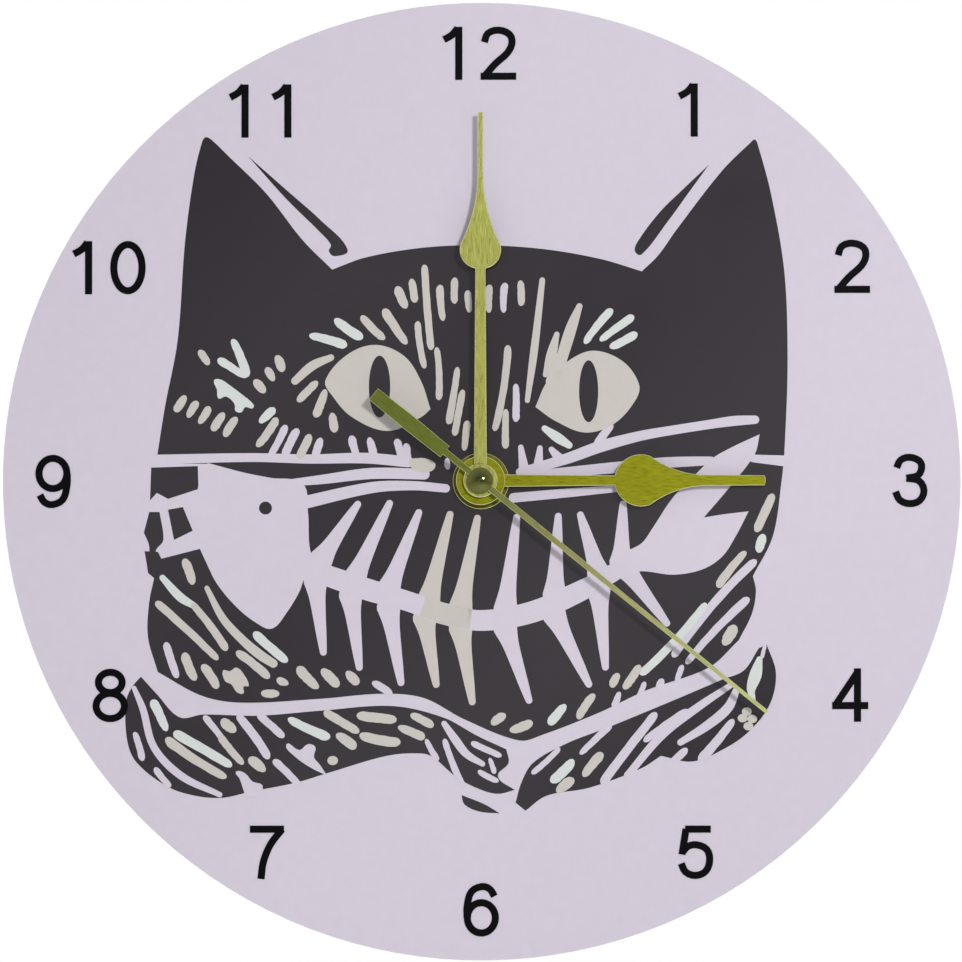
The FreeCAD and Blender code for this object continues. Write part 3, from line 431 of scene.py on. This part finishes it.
def fur_on_left_paw():
    """Strokes that wrap round the left paw."""
    ribbon("lilac", (-90.6, -54, 1.2), (-88.3, -59.4, 1.8), (-85.4, -69.4, 1.9), (-78.4, -76.8, 2),
           (-68.2, -81.8, 1.4))
    fan(["lilac"], 2, (-90.5, -65.5, -88.3, -73), (-85.2, -74.8, -81, -79.8), width=1.7, spread=0.1)
    tick("mint", -85.9, -57, -82, -65.2, 2.3)
    tick("mint", -80.3, -65.5, -65, -74.4, 2.4)
    tick("cream", -82.4, -67.1, -66.4, -77.4, 2.3)
    tick("lilac", -72.4, -61.2, -67.2, -67.6, 1.7)
    tick("cream", -68.4, -66.2, -62, -73.9, 1.9)
    tick("cream", -67.8, -62.2, -64, -65.4, 2.7)
    tick("lilac", -63.6, -61, -55.3, -72.5, 2.2)
    tick("lilac", -58.4, -60.6, -51.4, -66.9, 2)
    tick("mint", -50.4, -61.9, -39.4, -67, 2.3)
    tick("cream", -60.6, -72.2, -56.3, -75.7, 2.6)
    blob("lilac", (-64, -75.8), (-61.6, -76.2), (-59.6, -78.4), (-57, -79.4), (-58, -82.6, SHARP),
         (-61.4, -82.4, SHARP), (-62.4, -79.4), (-63, -77.6))
    tick("lilac", -54.2, -72.7, -47.2, -79.6, 1.9)
    blob("lilac", (-50.8, -68.6), (-47.4, -70.2), (-45.2, -68.6), (-43.2, -69.4), (-43.6, -72),
         (-42.2, -73.8), (-40.2, -76.8, SHARP), (-44, -75), (-48.4, -72))
    tick("cream", -41, -60.1, -31.8, -65.6, 2.2)
    fan(["cream"], 2, (-32.5, -61.2, -21.9, -62.3), (-31.7, -66.3, -20.9, -68.3), width=2.7, spread=0.1)
    tick("cream", -37.8, -66, -32.6, -69.7, 2.6)
    fan(["cream"], 2, (-21.7, -64.1, -14.6, -67), (-18.3, -60.8, -12.4, -64), width=2.4, spread=0.1)
    oval("cream", -38.7, -72.9, 1.4, 1.2, steps=18)
    tick("lilac", -14.4, -67.3, -11.2, -73, 1.5)
    tick("lilac", -9.6, -67.2, -4.6, -80, 1.7)
    ribbon("lilac", (-9.6, -63.3, 1.5), (-6.6, -67.6, 2.2), (-3.8, -71.2, 2), (0.4, -73.8, 1.4))
    tick("lilac", -2.6, -68.2, 5.4, -71.8, 1.6)
    tick("lilac", -0.8, -75.6, 4.6, -78.4, 1.5)
    tick("lilac", 2.2, -72.2, 3.6, -76.4, 1.3)


def fur_on_right_paw():
    """Strokes that wrap round the right paw, some right to its edge."""
    tick("mint", 24.2, -72.7, 18.2, -78.6, 2.6)
    tick("cream", 31.7, -70.9, 26.6, -77.1, 2.4)
    tick("cream", 24.2, -77.6, 19.7, -81.2, 2.6)
    tick("lilac", 34, -63.6, 25.8, -71.3, 1.7)
    tick("lilac", 45.8, -60.4, 31.4, -79.2, 2.3)
    tick("lilac", 54.3, -59.8, 42.4, -68, 1.9)
    ribbon("lilac", (65, -53.4, 1.5), (56.6, -59, 2.1), (47.3, -66.2, 2.2), (38.2, -76.8, 1.9))
    ribbon("lilac", (66.5, -54.8, 1.8), (64.4, -59.2, 2.5), (59, -63.8, 2.4), (52, -68.2, 1.7))
    tick("lilac", 65.9, -62.2, 56.8, -73.2, 2.3)
    tick("lilac", 53.8, -69.8, 47.8, -75, 2)
    tick("lilac", 20.6, -69.6, 13.2, -76.4, 1.5)
    ribbon("mint", (72.6, -46.6, 1.6), (71.6, -50.6, 3.2), (70.4, -54.6, 2.2), (71.2, -57, 0.8))
    for x, z in ((69.3, -60.2), (70.7, -62.1), (69.7, -64), (68.2, -61.9)):
        oval("cream", x, z, 1.3, 1.1, steps=18)
    tick("lilac", 74.2, -42.6, 73.2, -46.4, 1)


# ---- numerals: plain upright figures from bars, bows and rings ----

PEN = 1.86
FIGURE_GAP = 11.2
LEFT_SHIFT = 1.1
NUMERAL_RADIUS = 111.8
SIX_BOW = ((3.5, 3.5), (2.3, 5.4), (0.2, 6.05), (-2.5, 4.7), (-3.6, 0.9), (-3.65, -2))
FIGURES = {
    "0": ([], [(0, 0, 3.7, 6.05)]),
    "1": ([((0.9, 6.95), (0.9, -6.95)), ((0.6, 6.6), (-0.9, 4.8), (-3, 3.6))], []),
    "2": ([((-3.6, 2.9), (-2.7, 5.2), (0.1, 6.05), (3, 4.9), (3.6, 2.6), (2.4, 0.1), (-0.8, -2.8),
            (-3.4, -5.8)),
           ((-4.6, -6.02), (4.7, -6.02))], []),
    "3": ([((-3.4, 3.3), (-2.4, 5.3), (-0.1, 6.05), (2.5, 5.1), (3.1, 3.3), (2.1, 1.3), (-0.9, 0.6)),
           ((-0.9, 0.6), (2.4, -0.1), (3.7, -2.6), (2.6, -5.2), (0, -6.05), (-2.6, -5.1), (-3.7, -2.9))], []),
    "4": ([((1.3, 6.95), (1.3, -6.95)), ((-5.3, -2.75), (4.1, -2.75)), ((1.4, 6.1), (-4.4, -2.6))], []),
    "5": ([((-2.7, 6.02), (4, 6.02)), ((-2.45, 6.1), (-3.5, -0.6)),
           ((-3.4, 0), (-2, 1.5), (0.2, 1.95), (2.9, 0.8), (3.7, -1.9), (2.7, -4.9), (0, -6.05), (-2.6, -5.1),
            (-3.7, -2.9))], []),
    "6": ([SIX_BOW], [(0.1, -2.1, 3.65, 3.95)]),
    "7": ([((-4.4, 6.02), (4.5, 6.02)), ((4, 6), (0.9, 1.9), (-0.9, -2.6), (-1.5, -6.95))], []),
    "8": ([], [(0, 3.4, 3.1, 2.65), (0, -2.75, 3.7, 3.3)]),
    "9": ([tuple((-x, -z) for x, z in SIX_BOW)], [(-0.1, 2.1, 3.65, 3.95)]),
}

RING_STEPS = 48


def draw_figure(figure, x, z):
    """One figure with its middle at x, z."""
    bows, rings = FIGURES[figure]
    for bow in bows:
        ribbon("figure", *((x + px, z + pz, PEN) for px, pz in bow), round_start=False, round_end=False)
    for cx, cz, half_width, half_height in rings:
        middle = Vector((x + cx, z + cz))
        places = [
            middle + Vector((half_width * math.cos(a), half_height * math.sin(a)))
            for a in round_angles(RING_STEPS)
        ]
        strip("figure", [(place, PEN / 2) for place in places], closed=True)


def draw_numerals():
    """The hours, upright, evenly round the rim. Those that start with a 1 stand a little to the left."""
    for hour in range(1, 13):
        angle = math.radians(30 * hour)
        text = str(hour)
        for i, figure in enumerate(text):
            shift = (i - (len(text) - 1) / 2) * FIGURE_GAP
            x = NUMERAL_RADIUS * math.sin(angle) + shift - (LEFT_SHIFT if text[0] == "1" else 0)
            draw_figure(figure, x, NUMERAL_RADIUS * math.cos(angle))


def draw_dial():
    """Everything that is printed, from the first ink to the last."""
    draw_head()
    draw_paws()
    draw_collar()
    draw_fish()
    draw_whiskers()
    fur_on_forehead()
    fur_on_brows()
    fur_on_cheeks()
    fur_on_chest()
    fur_on_left_paw()
    fur_on_right_paw()
    draw_eyes()
    draw_numerals()


# ---- finishes ----


class Finish:
    """A Principled material, and the fields that vary it over the surface."""

    def __init__(self, name, colour, roughness, metallic=0.0, specular=0.5):
        self.material = bpy.data.materials.new(name)
        self.material.use_nodes = True
        self.nodes = self.material.node_tree.nodes
        self.links = self.material.node_tree.links
        self.shader = self.nodes["Principled BSDF"]
        self.colour = colour
        self.set("Base Color", (*colour, 1))
        self.set("Roughness", roughness)
        self.set("Metallic", metallic)
        self.set("Specular IOR Level", specular)

    def set(self, socket, value):
        """Sets a number or colour that is the same all over."""
        self.shader.inputs[socket].default_value = value

    def places(self, stretch=(1, 1, 1), turn=0.0):
        """Object coordinates, turned about Y by an angle and then stretched."""
        source = self.nodes.new("ShaderNodeTexCoord")
        turned = self.nodes.new("ShaderNodeMapping")
        turned.inputs["Rotation"].default_value = (0, turn, 0)
        scaled = self.nodes.new("ShaderNodeMapping")
        scaled.inputs["Scale"].default_value = stretch
        self.links.new(source.outputs["Object"], turned.inputs["Vector"])
        self.links.new(turned.outputs["Vector"], scaled.inputs["Vector"])
        return scaled.outputs["Vector"]

    def noise(self, scale, detail=3.0, stretch=(1, 1, 1), turn=0.0):
        """A soft random field that is fixed to the piece."""
        field = self.nodes.new("ShaderNodeTexNoise")
        field.inputs["Scale"].default_value = scale
        field.inputs["Detail"].default_value = detail
        self.links.new(self.places(stretch, turn), field.inputs["Vector"])
        return field.outputs["Fac"]

    def ramp(self, field, stops, constant=False):
        """Colours a field by its stops, blended or in plain steps."""
        ramp = self.nodes.new("ShaderNodeValToRGB")
        if constant:
            ramp.color_ramp.interpolation = "CONSTANT"
        elements = ramp.color_ramp.elements
        while len(elements) < len(stops):
            elements.new(0.5)
        for element, (place, colour) in zip(elements, stops):
            element.position = place
            element.color = (*colour, 1)
        self.links.new(field, ramp.inputs["Fac"])
        return ramp.outputs["Color"]

    def mottle(self, field, amount):
        """Lets the colour drift darker and lighter by a share of itself."""
        dark = [c * (1 - amount) for c in self.colour]
        light = [min(1, c * (1 + amount)) for c in self.colour]
        self.links.new(self.ramp(field, [(0.3, dark), (0.7, light)]), self.shader.inputs["Base Color"])
        return self

    def uneven(self, field, low, high):
        """Lets the roughness drift between two values."""
        spread = self.nodes.new("ShaderNodeMapRange")
        spread.inputs["From Min"].default_value = 0.3
        spread.inputs["From Max"].default_value = 0.7
        spread.inputs["To Min"].default_value = low
        spread.inputs["To Max"].default_value = high
        self.links.new(field, spread.inputs["Value"])
        self.links.new(spread.outputs["Result"], self.shader.inputs["Roughness"])
        return self

    def relief(self, field, height, strength=1.0):
        """Roughens the surface very slightly by a field."""
        bump = self.nodes.new("ShaderNodeBump")
        bump.inputs["Distance"].default_value = height
        bump.inputs["Strength"].default_value = strength
        self.links.new(field, bump.inputs["Height"])
        self.links.new(bump.outputs["Normal"], self.shader.inputs["Normal"])
        return self


def film_ink(name, colour, roughness=0.13, specular=0.5):
    """Ink under a smooth clear film."""
    ink = Finish(name, colour, roughness, specular=specular)
    ink.mottle(ink.noise(420, 4), 0.012)
    ink.uneven(ink.noise(60, 2), roughness * 0.92, roughness * 1.08)
    return ink.material


def brushed_brass(name, colour, turn, roughness=0.34):
    """Green-gold plated sheet, brushed along its length."""
    brass = Finish(name, colour, roughness, metallic=0.8)
    lines = brass.noise(90, 5, stretch=(70, 10, 4), turn=turn)
    brass.mottle(lines, 0.2)
    brass.uneven(lines, roughness * 0.75, roughness * 1.3)
    brass.relief(lines, 0.00002, 0.35)
    return brass


def second_hand_brass():
    """The same sheet, with painted shade on the broad tail and a painted highlight growing paler to the
    blade's tip.
    """
    brass = brushed_brass("second_brass", (0.30, 0.29, 0.11), SECOND_TURN)
    split = brass.nodes.new("ShaderNodeSeparateXYZ")
    reach = brass.nodes.new("ShaderNodeMapRange")
    reach.inputs["From Min"].default_value = -SECOND_HAND_TAIL
    reach.inputs["From Max"].default_value = SECOND_HAND_BLADE
    brass.links.new(brass.places(turn=SECOND_TURN), split.inputs["Vector"])
    brass.links.new(split.outputs["Z"], reach.inputs["Value"])
    # Painted light along the hand: painted shade at the tail, painted highlight towards the tip.
    stops = [(0.2, (0.125, 0.153, 0.0213)), (0.5, (0.262, 0.25, 0.094)), (1.0, (0.46, 0.48, 0.2))]
    painted_shade_and_highlight = brass.ramp(reach.outputs["Result"], stops)
    brass.links.new(painted_shade_and_highlight, brass.shader.inputs["Base Color"])
    return brass


def moulded(name, colour, roughness, grain=0.00003):
    """Plastic with the fine sparked grain of its mould."""
    plastic = Finish(name, colour, roughness)
    grains = plastic.noise(2600, 3)
    plastic.mottle(plastic.noise(140, 4), 0.1)
    plastic.uneven(plastic.noise(700, 3), roughness * 0.85, roughness * 1.12)
    plastic.relief(grains, grain, 0.5)
    return plastic.material


def board():
    """Stiff white board, with the faint clouding of its pressed surface."""
    white = Finish("white_board", (0.74, 0.73, 0.70), 0.55)
    white.mottle(white.noise(55, 6), 0.035)
    white.uneven(white.noise(300, 4), 0.48, 0.66)
    white.relief(white.noise(1500, 4), 0.00004, 0.5)
    return white.material


def plain_metal(name, colour, roughness):
    """Rolled or turned metal with faint streaks."""
    metal = Finish(name, colour, roughness, metallic=1.0)
    streaks = metal.noise(300, 4, stretch=(1, 1, 9))
    metal.mottle(streaks, 0.07)
    metal.uneven(streaks, roughness * 0.8, roughness * 1.25)
    metal.relief(streaks, 0.00001, 0.3)
    return metal.material


def copper_winding():
    """Enamelled wire, wound close round a bobbin that lies along X."""
    copper = Finish("copper_winding", (0.62, 0.25, 0.09), 0.3, metallic=0.85)
    turns = copper.nodes.new("ShaderNodeTexWave")
    turns.bands_direction = "X"
    turns.inputs["Scale"].default_value = 1400
    copper.links.new(copper.places(), turns.inputs["Vector"])
    copper.mottle(turns.outputs["Fac"], 0.25)
    copper.relief(turns.outputs["Fac"], 0.00005, 0.8)
    return copper.material


def circuit_green():
    """Green board with paler copper runs under the lacquer."""
    green = Finish("circuit_green", (0.03, 0.16, 0.06), 0.35)
    runs = green.nodes.new("ShaderNodeTexBrick")
    runs.inputs["Scale"].default_value = 380
    runs.inputs["Color1"].default_value = (0.02, 0.13, 0.05, 1)
    runs.inputs["Color2"].default_value = (0.03, 0.16, 0.06, 1)
    runs.inputs["Mortar"].default_value = (0.08, 0.30, 0.12, 1)
    green.links.new(green.places(), runs.inputs["Vector"])
    green.links.new(runs.outputs["Color"], green.shader.inputs["Base Color"])
    green.relief(green.noise(900, 3), 0.00002, 0.4)
    return green.material


def battery_sleeve():
    """A plain two-colour battery sleeve: graphite, with a copper band by the positive end."""
    low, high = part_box("battery_label")
    sleeve = Finish("battery_sleeve", (0.03, 0.03, 0.035), 0.28, metallic=0.3)
    spread = sleeve.nodes.new("ShaderNodeMapRange")
    spread.inputs["From Min"].default_value = low.x
    spread.inputs["From Max"].default_value = high.x
    split = sleeve.nodes.new("ShaderNodeSeparateXYZ")
    sleeve.links.new(sleeve.places(), split.inputs["Vector"])
    sleeve.links.new(split.outputs["X"], spread.inputs["Value"])
    stops = [(0.0, (0.03, 0.03, 0.035)), (0.70, (0.55, 0.53, 0.5)), (0.715, (0.48, 0.2, 0.08))]
    bands = sleeve.ramp(spread.outputs["Result"], stops, constant=True)
    sleeve.links.new(bands, sleeve.shader.inputs["Base Color"])
    sleeve.uneven(sleeve.noise(220, 3), 0.22, 0.36)
    return sleeve.material


LILAC = (0.643, 0.586, 0.681)
INKS = {
    "lilac": film_ink("ink_lilac", LILAC),
    "black": film_ink("ink_black", (0.0233, 0.0177, 0.0242)),
    "cream": film_ink("ink_cream", (0.579, 0.543, 0.507)),
    "mint": film_ink("ink_mint", (0.652, 0.689, 0.671)),
    "figure": film_ink("ink_figure", (0.002, 0.0016, 0.0026), roughness=0.5, specular=0.05),
}
MINUTE_TURN = 0.0
HOUR_TURN = math.radians(90)
SECOND_TURN = math.radians(-129)
SECOND_HAND_TAIL = 0.036
SECOND_HAND_BLADE = 0.096
BLACK_PLASTIC = moulded("black_plastic", (0.022, 0.022, 0.024), 0.5)
PALE_PLASTIC = moulded("pale_plastic", (0.80, 0.79, 0.74), 0.38, grain=0.00001)
STEEL = plain_metal("steel", (0.62, 0.62, 0.61), 0.25)
# Painted shade: the washer and nut get a far darker brass than the hands, for the shade round the hub.
WASHER_BRASS_PAINTED_SHADE = brushed_brass("washer_brass", (0.14, 0.13, 0.007), 0.0).material
# Painted highlight: a pale metal for the cut front edges, so that they show as bright lines.
CUT_EDGE_HIGHLIGHT = plain_metal("cut_edge_highlight", (0.80, 0.82, 0.40), 0.3)

FINISHES = {
    "dial_board": (board(), ["dial_plate"]),
    "printed_film": (INKS["lilac"], ["printed_face"]),
    "case_black": (BLACK_PLASTIC, ["front_case"]),
    "cover_black": (moulded("cover_plastic", (0.028, 0.028, 0.03), 0.42), ["rear_cover"]),
    "knob_black": (moulded("knob_plastic", (0.018, 0.018, 0.02), 0.36), ["setting_knob"]),
    "plate_white": (PALE_PLASTIC, ["middle_plate"]),
    "bobbin_white": (PALE_PLASTIC, ["coil_bobbin"]),
    "wheel_white": (PALE_PLASTIC, [
        "rotor_pinion", "intermediate_wheel", "seconds_wheel", "third_wheel", "centre_wheel", "minute_pipe",
        "hour_wheel", "setting_wheel"]),
    "rubber_black": (moulded("rubber", (0.02, 0.02, 0.02), 0.8), ["rubber_gasket"]),
    "washer_brass": (WASHER_BRASS_PAINTED_SHADE, ["brass_washer", "hex_nut"]),
    "board_green": (circuit_green(), ["circuit_board"]),
    "resin_black": (moulded("resin", (0.01, 0.01, 0.011), 0.2, grain=0.00001), ["chip_cover"]),
    "can_steel": (STEEL, ["quartz_crystal"]),
    "soft_iron": (plain_metal("soft_iron", (0.45, 0.44, 0.43), 0.4), ["coil_core", "stator_plate"]),
    "wire_copper": (copper_winding(), ["coil_winding"]),
    "contact_steel": (STEEL, ["contact_positive", "contact_negative", "contact_spring"]),
    "magnet_grey": (plain_metal("magnet", (0.22, 0.22, 0.23), 0.45), ["rotor_magnet"]),
    "arbor_steel": (STEEL, ["seconds_arbor"]),
    "cap_gold": (plain_metal("cap_gold", (0.18, 0.185, 0.06), 0.08), ["second_hand_cap"]),
    "battery_shell": (plain_metal("battery_shell", (0.66, 0.65, 0.63), 0.3), ["battery_can", "battery_cap"]),
    "battery_sleeve": (battery_sleeve(), ["battery_label"]),
}
HANDS = {
    "minute_hand": brushed_brass("minute_brass", (0.35, 0.354, 0.0823), MINUTE_TURN).material,
    # The hour hand is a darker copy of the same brass: painted shade.
    "hour_hand": brushed_brass("hour_brass_painted_shade", (0.221, 0.223, 0.003), HOUR_TURN).material,
    "second_hand": second_hand_brass().material,
}


def dress_frame():
    """Gives every CAD node its finish."""
    for material, nodes in FINISHES.values():
        for node in nodes:
            dress(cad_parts[node], material)
    for node, material in HANDS.items():
        dress(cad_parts[node], material)


def dress(piece, material):
    """Makes this the piece's only material."""
    piece.data.materials.clear()
    piece.data.materials.append(material)


# ---- pieces ----


def stand(name, mesh, body):
    """Puts a mesh in the scene, riding on a body."""
    piece = bpy.data.objects.new(name, mesh)
    bpy.context.scene.collection.objects.link(piece)
    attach(piece, body)
    return piece


def new_piece(name, verts, faces, material, body):
    """A closed mesh that rides on a body."""
    mesh = bpy.data.meshes.new(name)
    mesh.from_pydata(verts, [], faces)
    shape = bmesh.new()
    shape.from_mesh(mesh)
    bmesh.ops.recalc_face_normals(shape, faces=shape.faces)
    shape.to_mesh(mesh)
    shape.free()
    mesh.materials.append(material)
    stand(name, mesh, body)


def print_dial():
    """The drawn ink, one piece for each colour."""
    draw_dial()
    for ink, (verts, faces) in inked.items():
        new_piece("print_" + ink, verts, faces, INKS[ink], "clock")


# An edge sharper than CORNER_ANGLE is cut if one of its faces looks forward, along -Y.
CORNER_ANGLE = math.radians(50)
FRONT_NORMAL = -0.9


def eased(node, body, material, edge):
    """A stand-in for a CAD node: the same shape with its front corners cut, and the cut faces in a paler
    metal that is a painted highlight.
    """
    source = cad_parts[node].data
    mesh = bpy.data.meshes.new("eased_" + node)
    mesh.from_pydata([v.co for v in source.vertices], [], [list(p.vertices) for p in source.polygons])
    shape = bmesh.new()
    shape.from_mesh(mesh)
    bmesh.ops.remove_doubles(shape, verts=shape.verts, dist=0.000001)
    bmesh.ops.dissolve_limit(shape, angle_limit=math.radians(1), verts=shape.verts, edges=shape.edges)
    convex = [e for e in shape.edges if e.is_manifold and e.is_convex]
    corners = [e for e in convex if e.calc_face_angle() > CORNER_ANGLE]
    outer = [e for e in corners if min(face.normal.y for face in e.link_faces) < FRONT_NORMAL]
    # The cut faces take the second material, the pale metal that is a painted highlight.
    bmesh.ops.bevel(shape, geom=outer, offset=edge, segments=1, profile=0.5, affect="EDGES", material=1)
    for face in shape.faces:
        face.smooth = True
    shape.to_mesh(mesh)
    shape.free()
    mesh.set_sharp_from_angle(angle=math.radians(32))
    mesh.materials.append(material)
    mesh.materials.append(CUT_EDGE_HIGHLIGHT)
    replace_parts(stand("eased_" + node, mesh, body), node)


def ease_metalwork():
    """Cuts the front edges of the hands, washer and nut, so that they catch the light; the paler metal on the
    cuts is a painted highlight.
    """
    eased("minute_hand", "minutes", HANDS["minute_hand"], 0.25 * MM)
    eased("hour_hand", "hours", HANDS["hour_hand"], 0.18 * MM)
    eased("second_hand", "seconds", HANDS["second_hand"], 0.1 * MM)
    eased("brass_washer", "clock", WASHER_BRASS_PAINTED_SHADE, 0.13 * MM)
    eased("hex_nut", "clock", WASHER_BRASS_PAINTED_SHADE, 0.15 * MM)


# ---- studio ----

CAMERA_DISTANCE = 3.0
HALF_VIEW = DIAL_RADIUS + 0.5 * MM
SENSOR = 36.0
CAMERA_RIGHT = math.radians(2.0)
CAMERA_DOWN = math.radians(2.0)
FLOOR_DROP = 0.45
FLOOR_RADIUS = 3.4
DIAL_CENTRE = Vector((0, FACE, 0))


def aim(item, target):
    """Turns a camera or lamp to face a point."""
    item.rotation_euler = (target - item.location).to_track_quat("-Z", "Y").to_euler()


def add_camera():
    """Nearly square to the dial, a little low and to the right, from far off."""
    data = bpy.data.cameras.new("camera")
    data.sensor_width = SENSOR
    data.lens = SENSOR / 2 * CAMERA_DISTANCE / HALF_VIEW
    camera = bpy.data.objects.new("camera", data)
    side = Vector((math.tan(CAMERA_RIGHT), -1, -math.tan(CAMERA_DOWN)))
    camera.location = DIAL_CENTRE + side.normalized() * CAMERA_DISTANCE
    aim(camera, DIAL_CENTRE)
    bpy.context.scene.collection.objects.link(camera)
    bpy.context.scene.camera = camera


def add_lamp(name, location, radiance, width, height=None, roll=0.0):
    """An area lamp of a given brightness that looks at the dial."""
    data = bpy.data.lights.new(name, "AREA")
    data.size = width
    area = math.pi * width * width / 4
    data.shape = "DISK"
    if height:
        data.shape = "RECTANGLE"
        data.size_y = height
        area = width * height
    data.energy = radiance * math.pi * area
    lamp = bpy.data.objects.new(name, data)
    lamp.location = location
    aim(lamp, DIAL_CENTRE)
    lamp.rotation_euler.rotate_axis("Z", roll)
    bpy.context.scene.collection.objects.link(lamp)


KEY_SIDE = Vector((0.36, -1, 0.25))
KEY_DISTANCE = 1.3
KEY_SHARE = 0.5
KEY_SIZE = 0.16
STRIP_DISTANCE = 2.5
STRIP_LENGTH = 1.4
BACK_LAMP = Vector((-0.7, 1.3, 0.7))
BACK_RADIANCE = 18
BACK_SIZE = 0.5


def add_lamps():
    """A key lamp at the upper right, one behind, and two slanting strips that shine in the gloss.

    Each strip is given by where its reflection lies on the dial and how wide it is there.
    """
    slant = KEY_SIDE.normalized().y ** 2
    key_radiance = KEY_SHARE * KEY_DISTANCE**2 * 4 / (KEY_SIZE**2 * math.sqrt(slant))
    add_lamp("key", DIAL_CENTRE + KEY_SIDE.normalized() * KEY_DISTANCE, key_radiance, KEY_SIZE)
    mirrored = Vector((-math.tan(CAMERA_RIGHT), 0, math.tan(CAMERA_DOWN))) * STRIP_DISTANCE
    middle = DIAL_CENTRE + mirrored + Vector((0, -STRIP_DISTANCE, 0))
    across = Vector((1, 0, -1)).normalized()
    spread = 1 + STRIP_DISTANCE / CAMERA_DISTANCE
    for name, place, width in (("strip_left", -58, 34), ("strip_right", 47.5, 55)):
        where = middle + across * place * MM * spread
        add_lamp(name, where, 1.0, width * MM * spread, STRIP_LENGTH, math.radians(-45))
    add_lamp("back", BACK_LAMP, BACK_RADIANCE, BACK_SIZE)


SIDE_GREY = 0.64
FRONT_GREY = 0.2


def add_world():
    """White behind the clock. The light on it is grey: bright from the sides, darker in front and behind."""
    world = bpy.data.worlds.new("studio")
    world.use_nodes = True
    nodes = world.node_tree.nodes
    links = world.node_tree.links
    background = nodes["Background"]
    background.inputs["Color"].default_value = (1, 1, 1, 1)
    path = nodes.new("ShaderNodeLightPath")
    direction = nodes.new("ShaderNodeTexCoord")
    split = nodes.new("ShaderNodeSeparateXYZ")
    squared = nodes.new("ShaderNodeMath")
    squared.operation = "POWER"
    squared.inputs[1].default_value = 2.0
    grey = nodes.new("ShaderNodeMapRange")
    grey.inputs["To Min"].default_value = SIDE_GREY
    grey.inputs["To Max"].default_value = FRONT_GREY
    level = nodes.new("ShaderNodeMapRange")
    level.inputs["To Max"].default_value = 1.0
    links.new(direction.outputs["Generated"], split.inputs["Vector"])
    links.new(split.outputs["Y"], squared.inputs[0])
    links.new(squared.outputs["Value"], grey.inputs["Value"])
    links.new(grey.outputs["Result"], level.inputs["To Min"])
    links.new(path.outputs["Is Camera Ray"], level.inputs["Value"])
    links.new(level.outputs["Result"], background.inputs["Strength"])
    bpy.context.scene.world = world


def add_floor():
    """A pale round floor, well below the clock."""
    mesh = bpy.data.meshes.new("floor")
    shape = bmesh.new()
    bmesh.ops.create_circle(shape, cap_ends=True, segments=96, radius=FLOOR_RADIUS)
    shape.to_mesh(mesh)
    shape.free()
    floor = bpy.data.objects.new("floor", mesh)
    floor.location = (0, 0, -DIAL_RADIUS - FLOOR_DROP)
    bpy.context.scene.collection.objects.link(floor)
    pale = Finish("floor_paint", (0.82, 0.82, 0.82), 0.7)
    pale.mottle(pale.noise(6, 3), 0.01)
    mesh.materials.append(pale.material)


add_camera()
dress_frame()
print_dial()
ease_metalwork()
add_lamps()
add_world()
add_floor()
bpy.context.scene.view_settings.view_transform = "Standard"
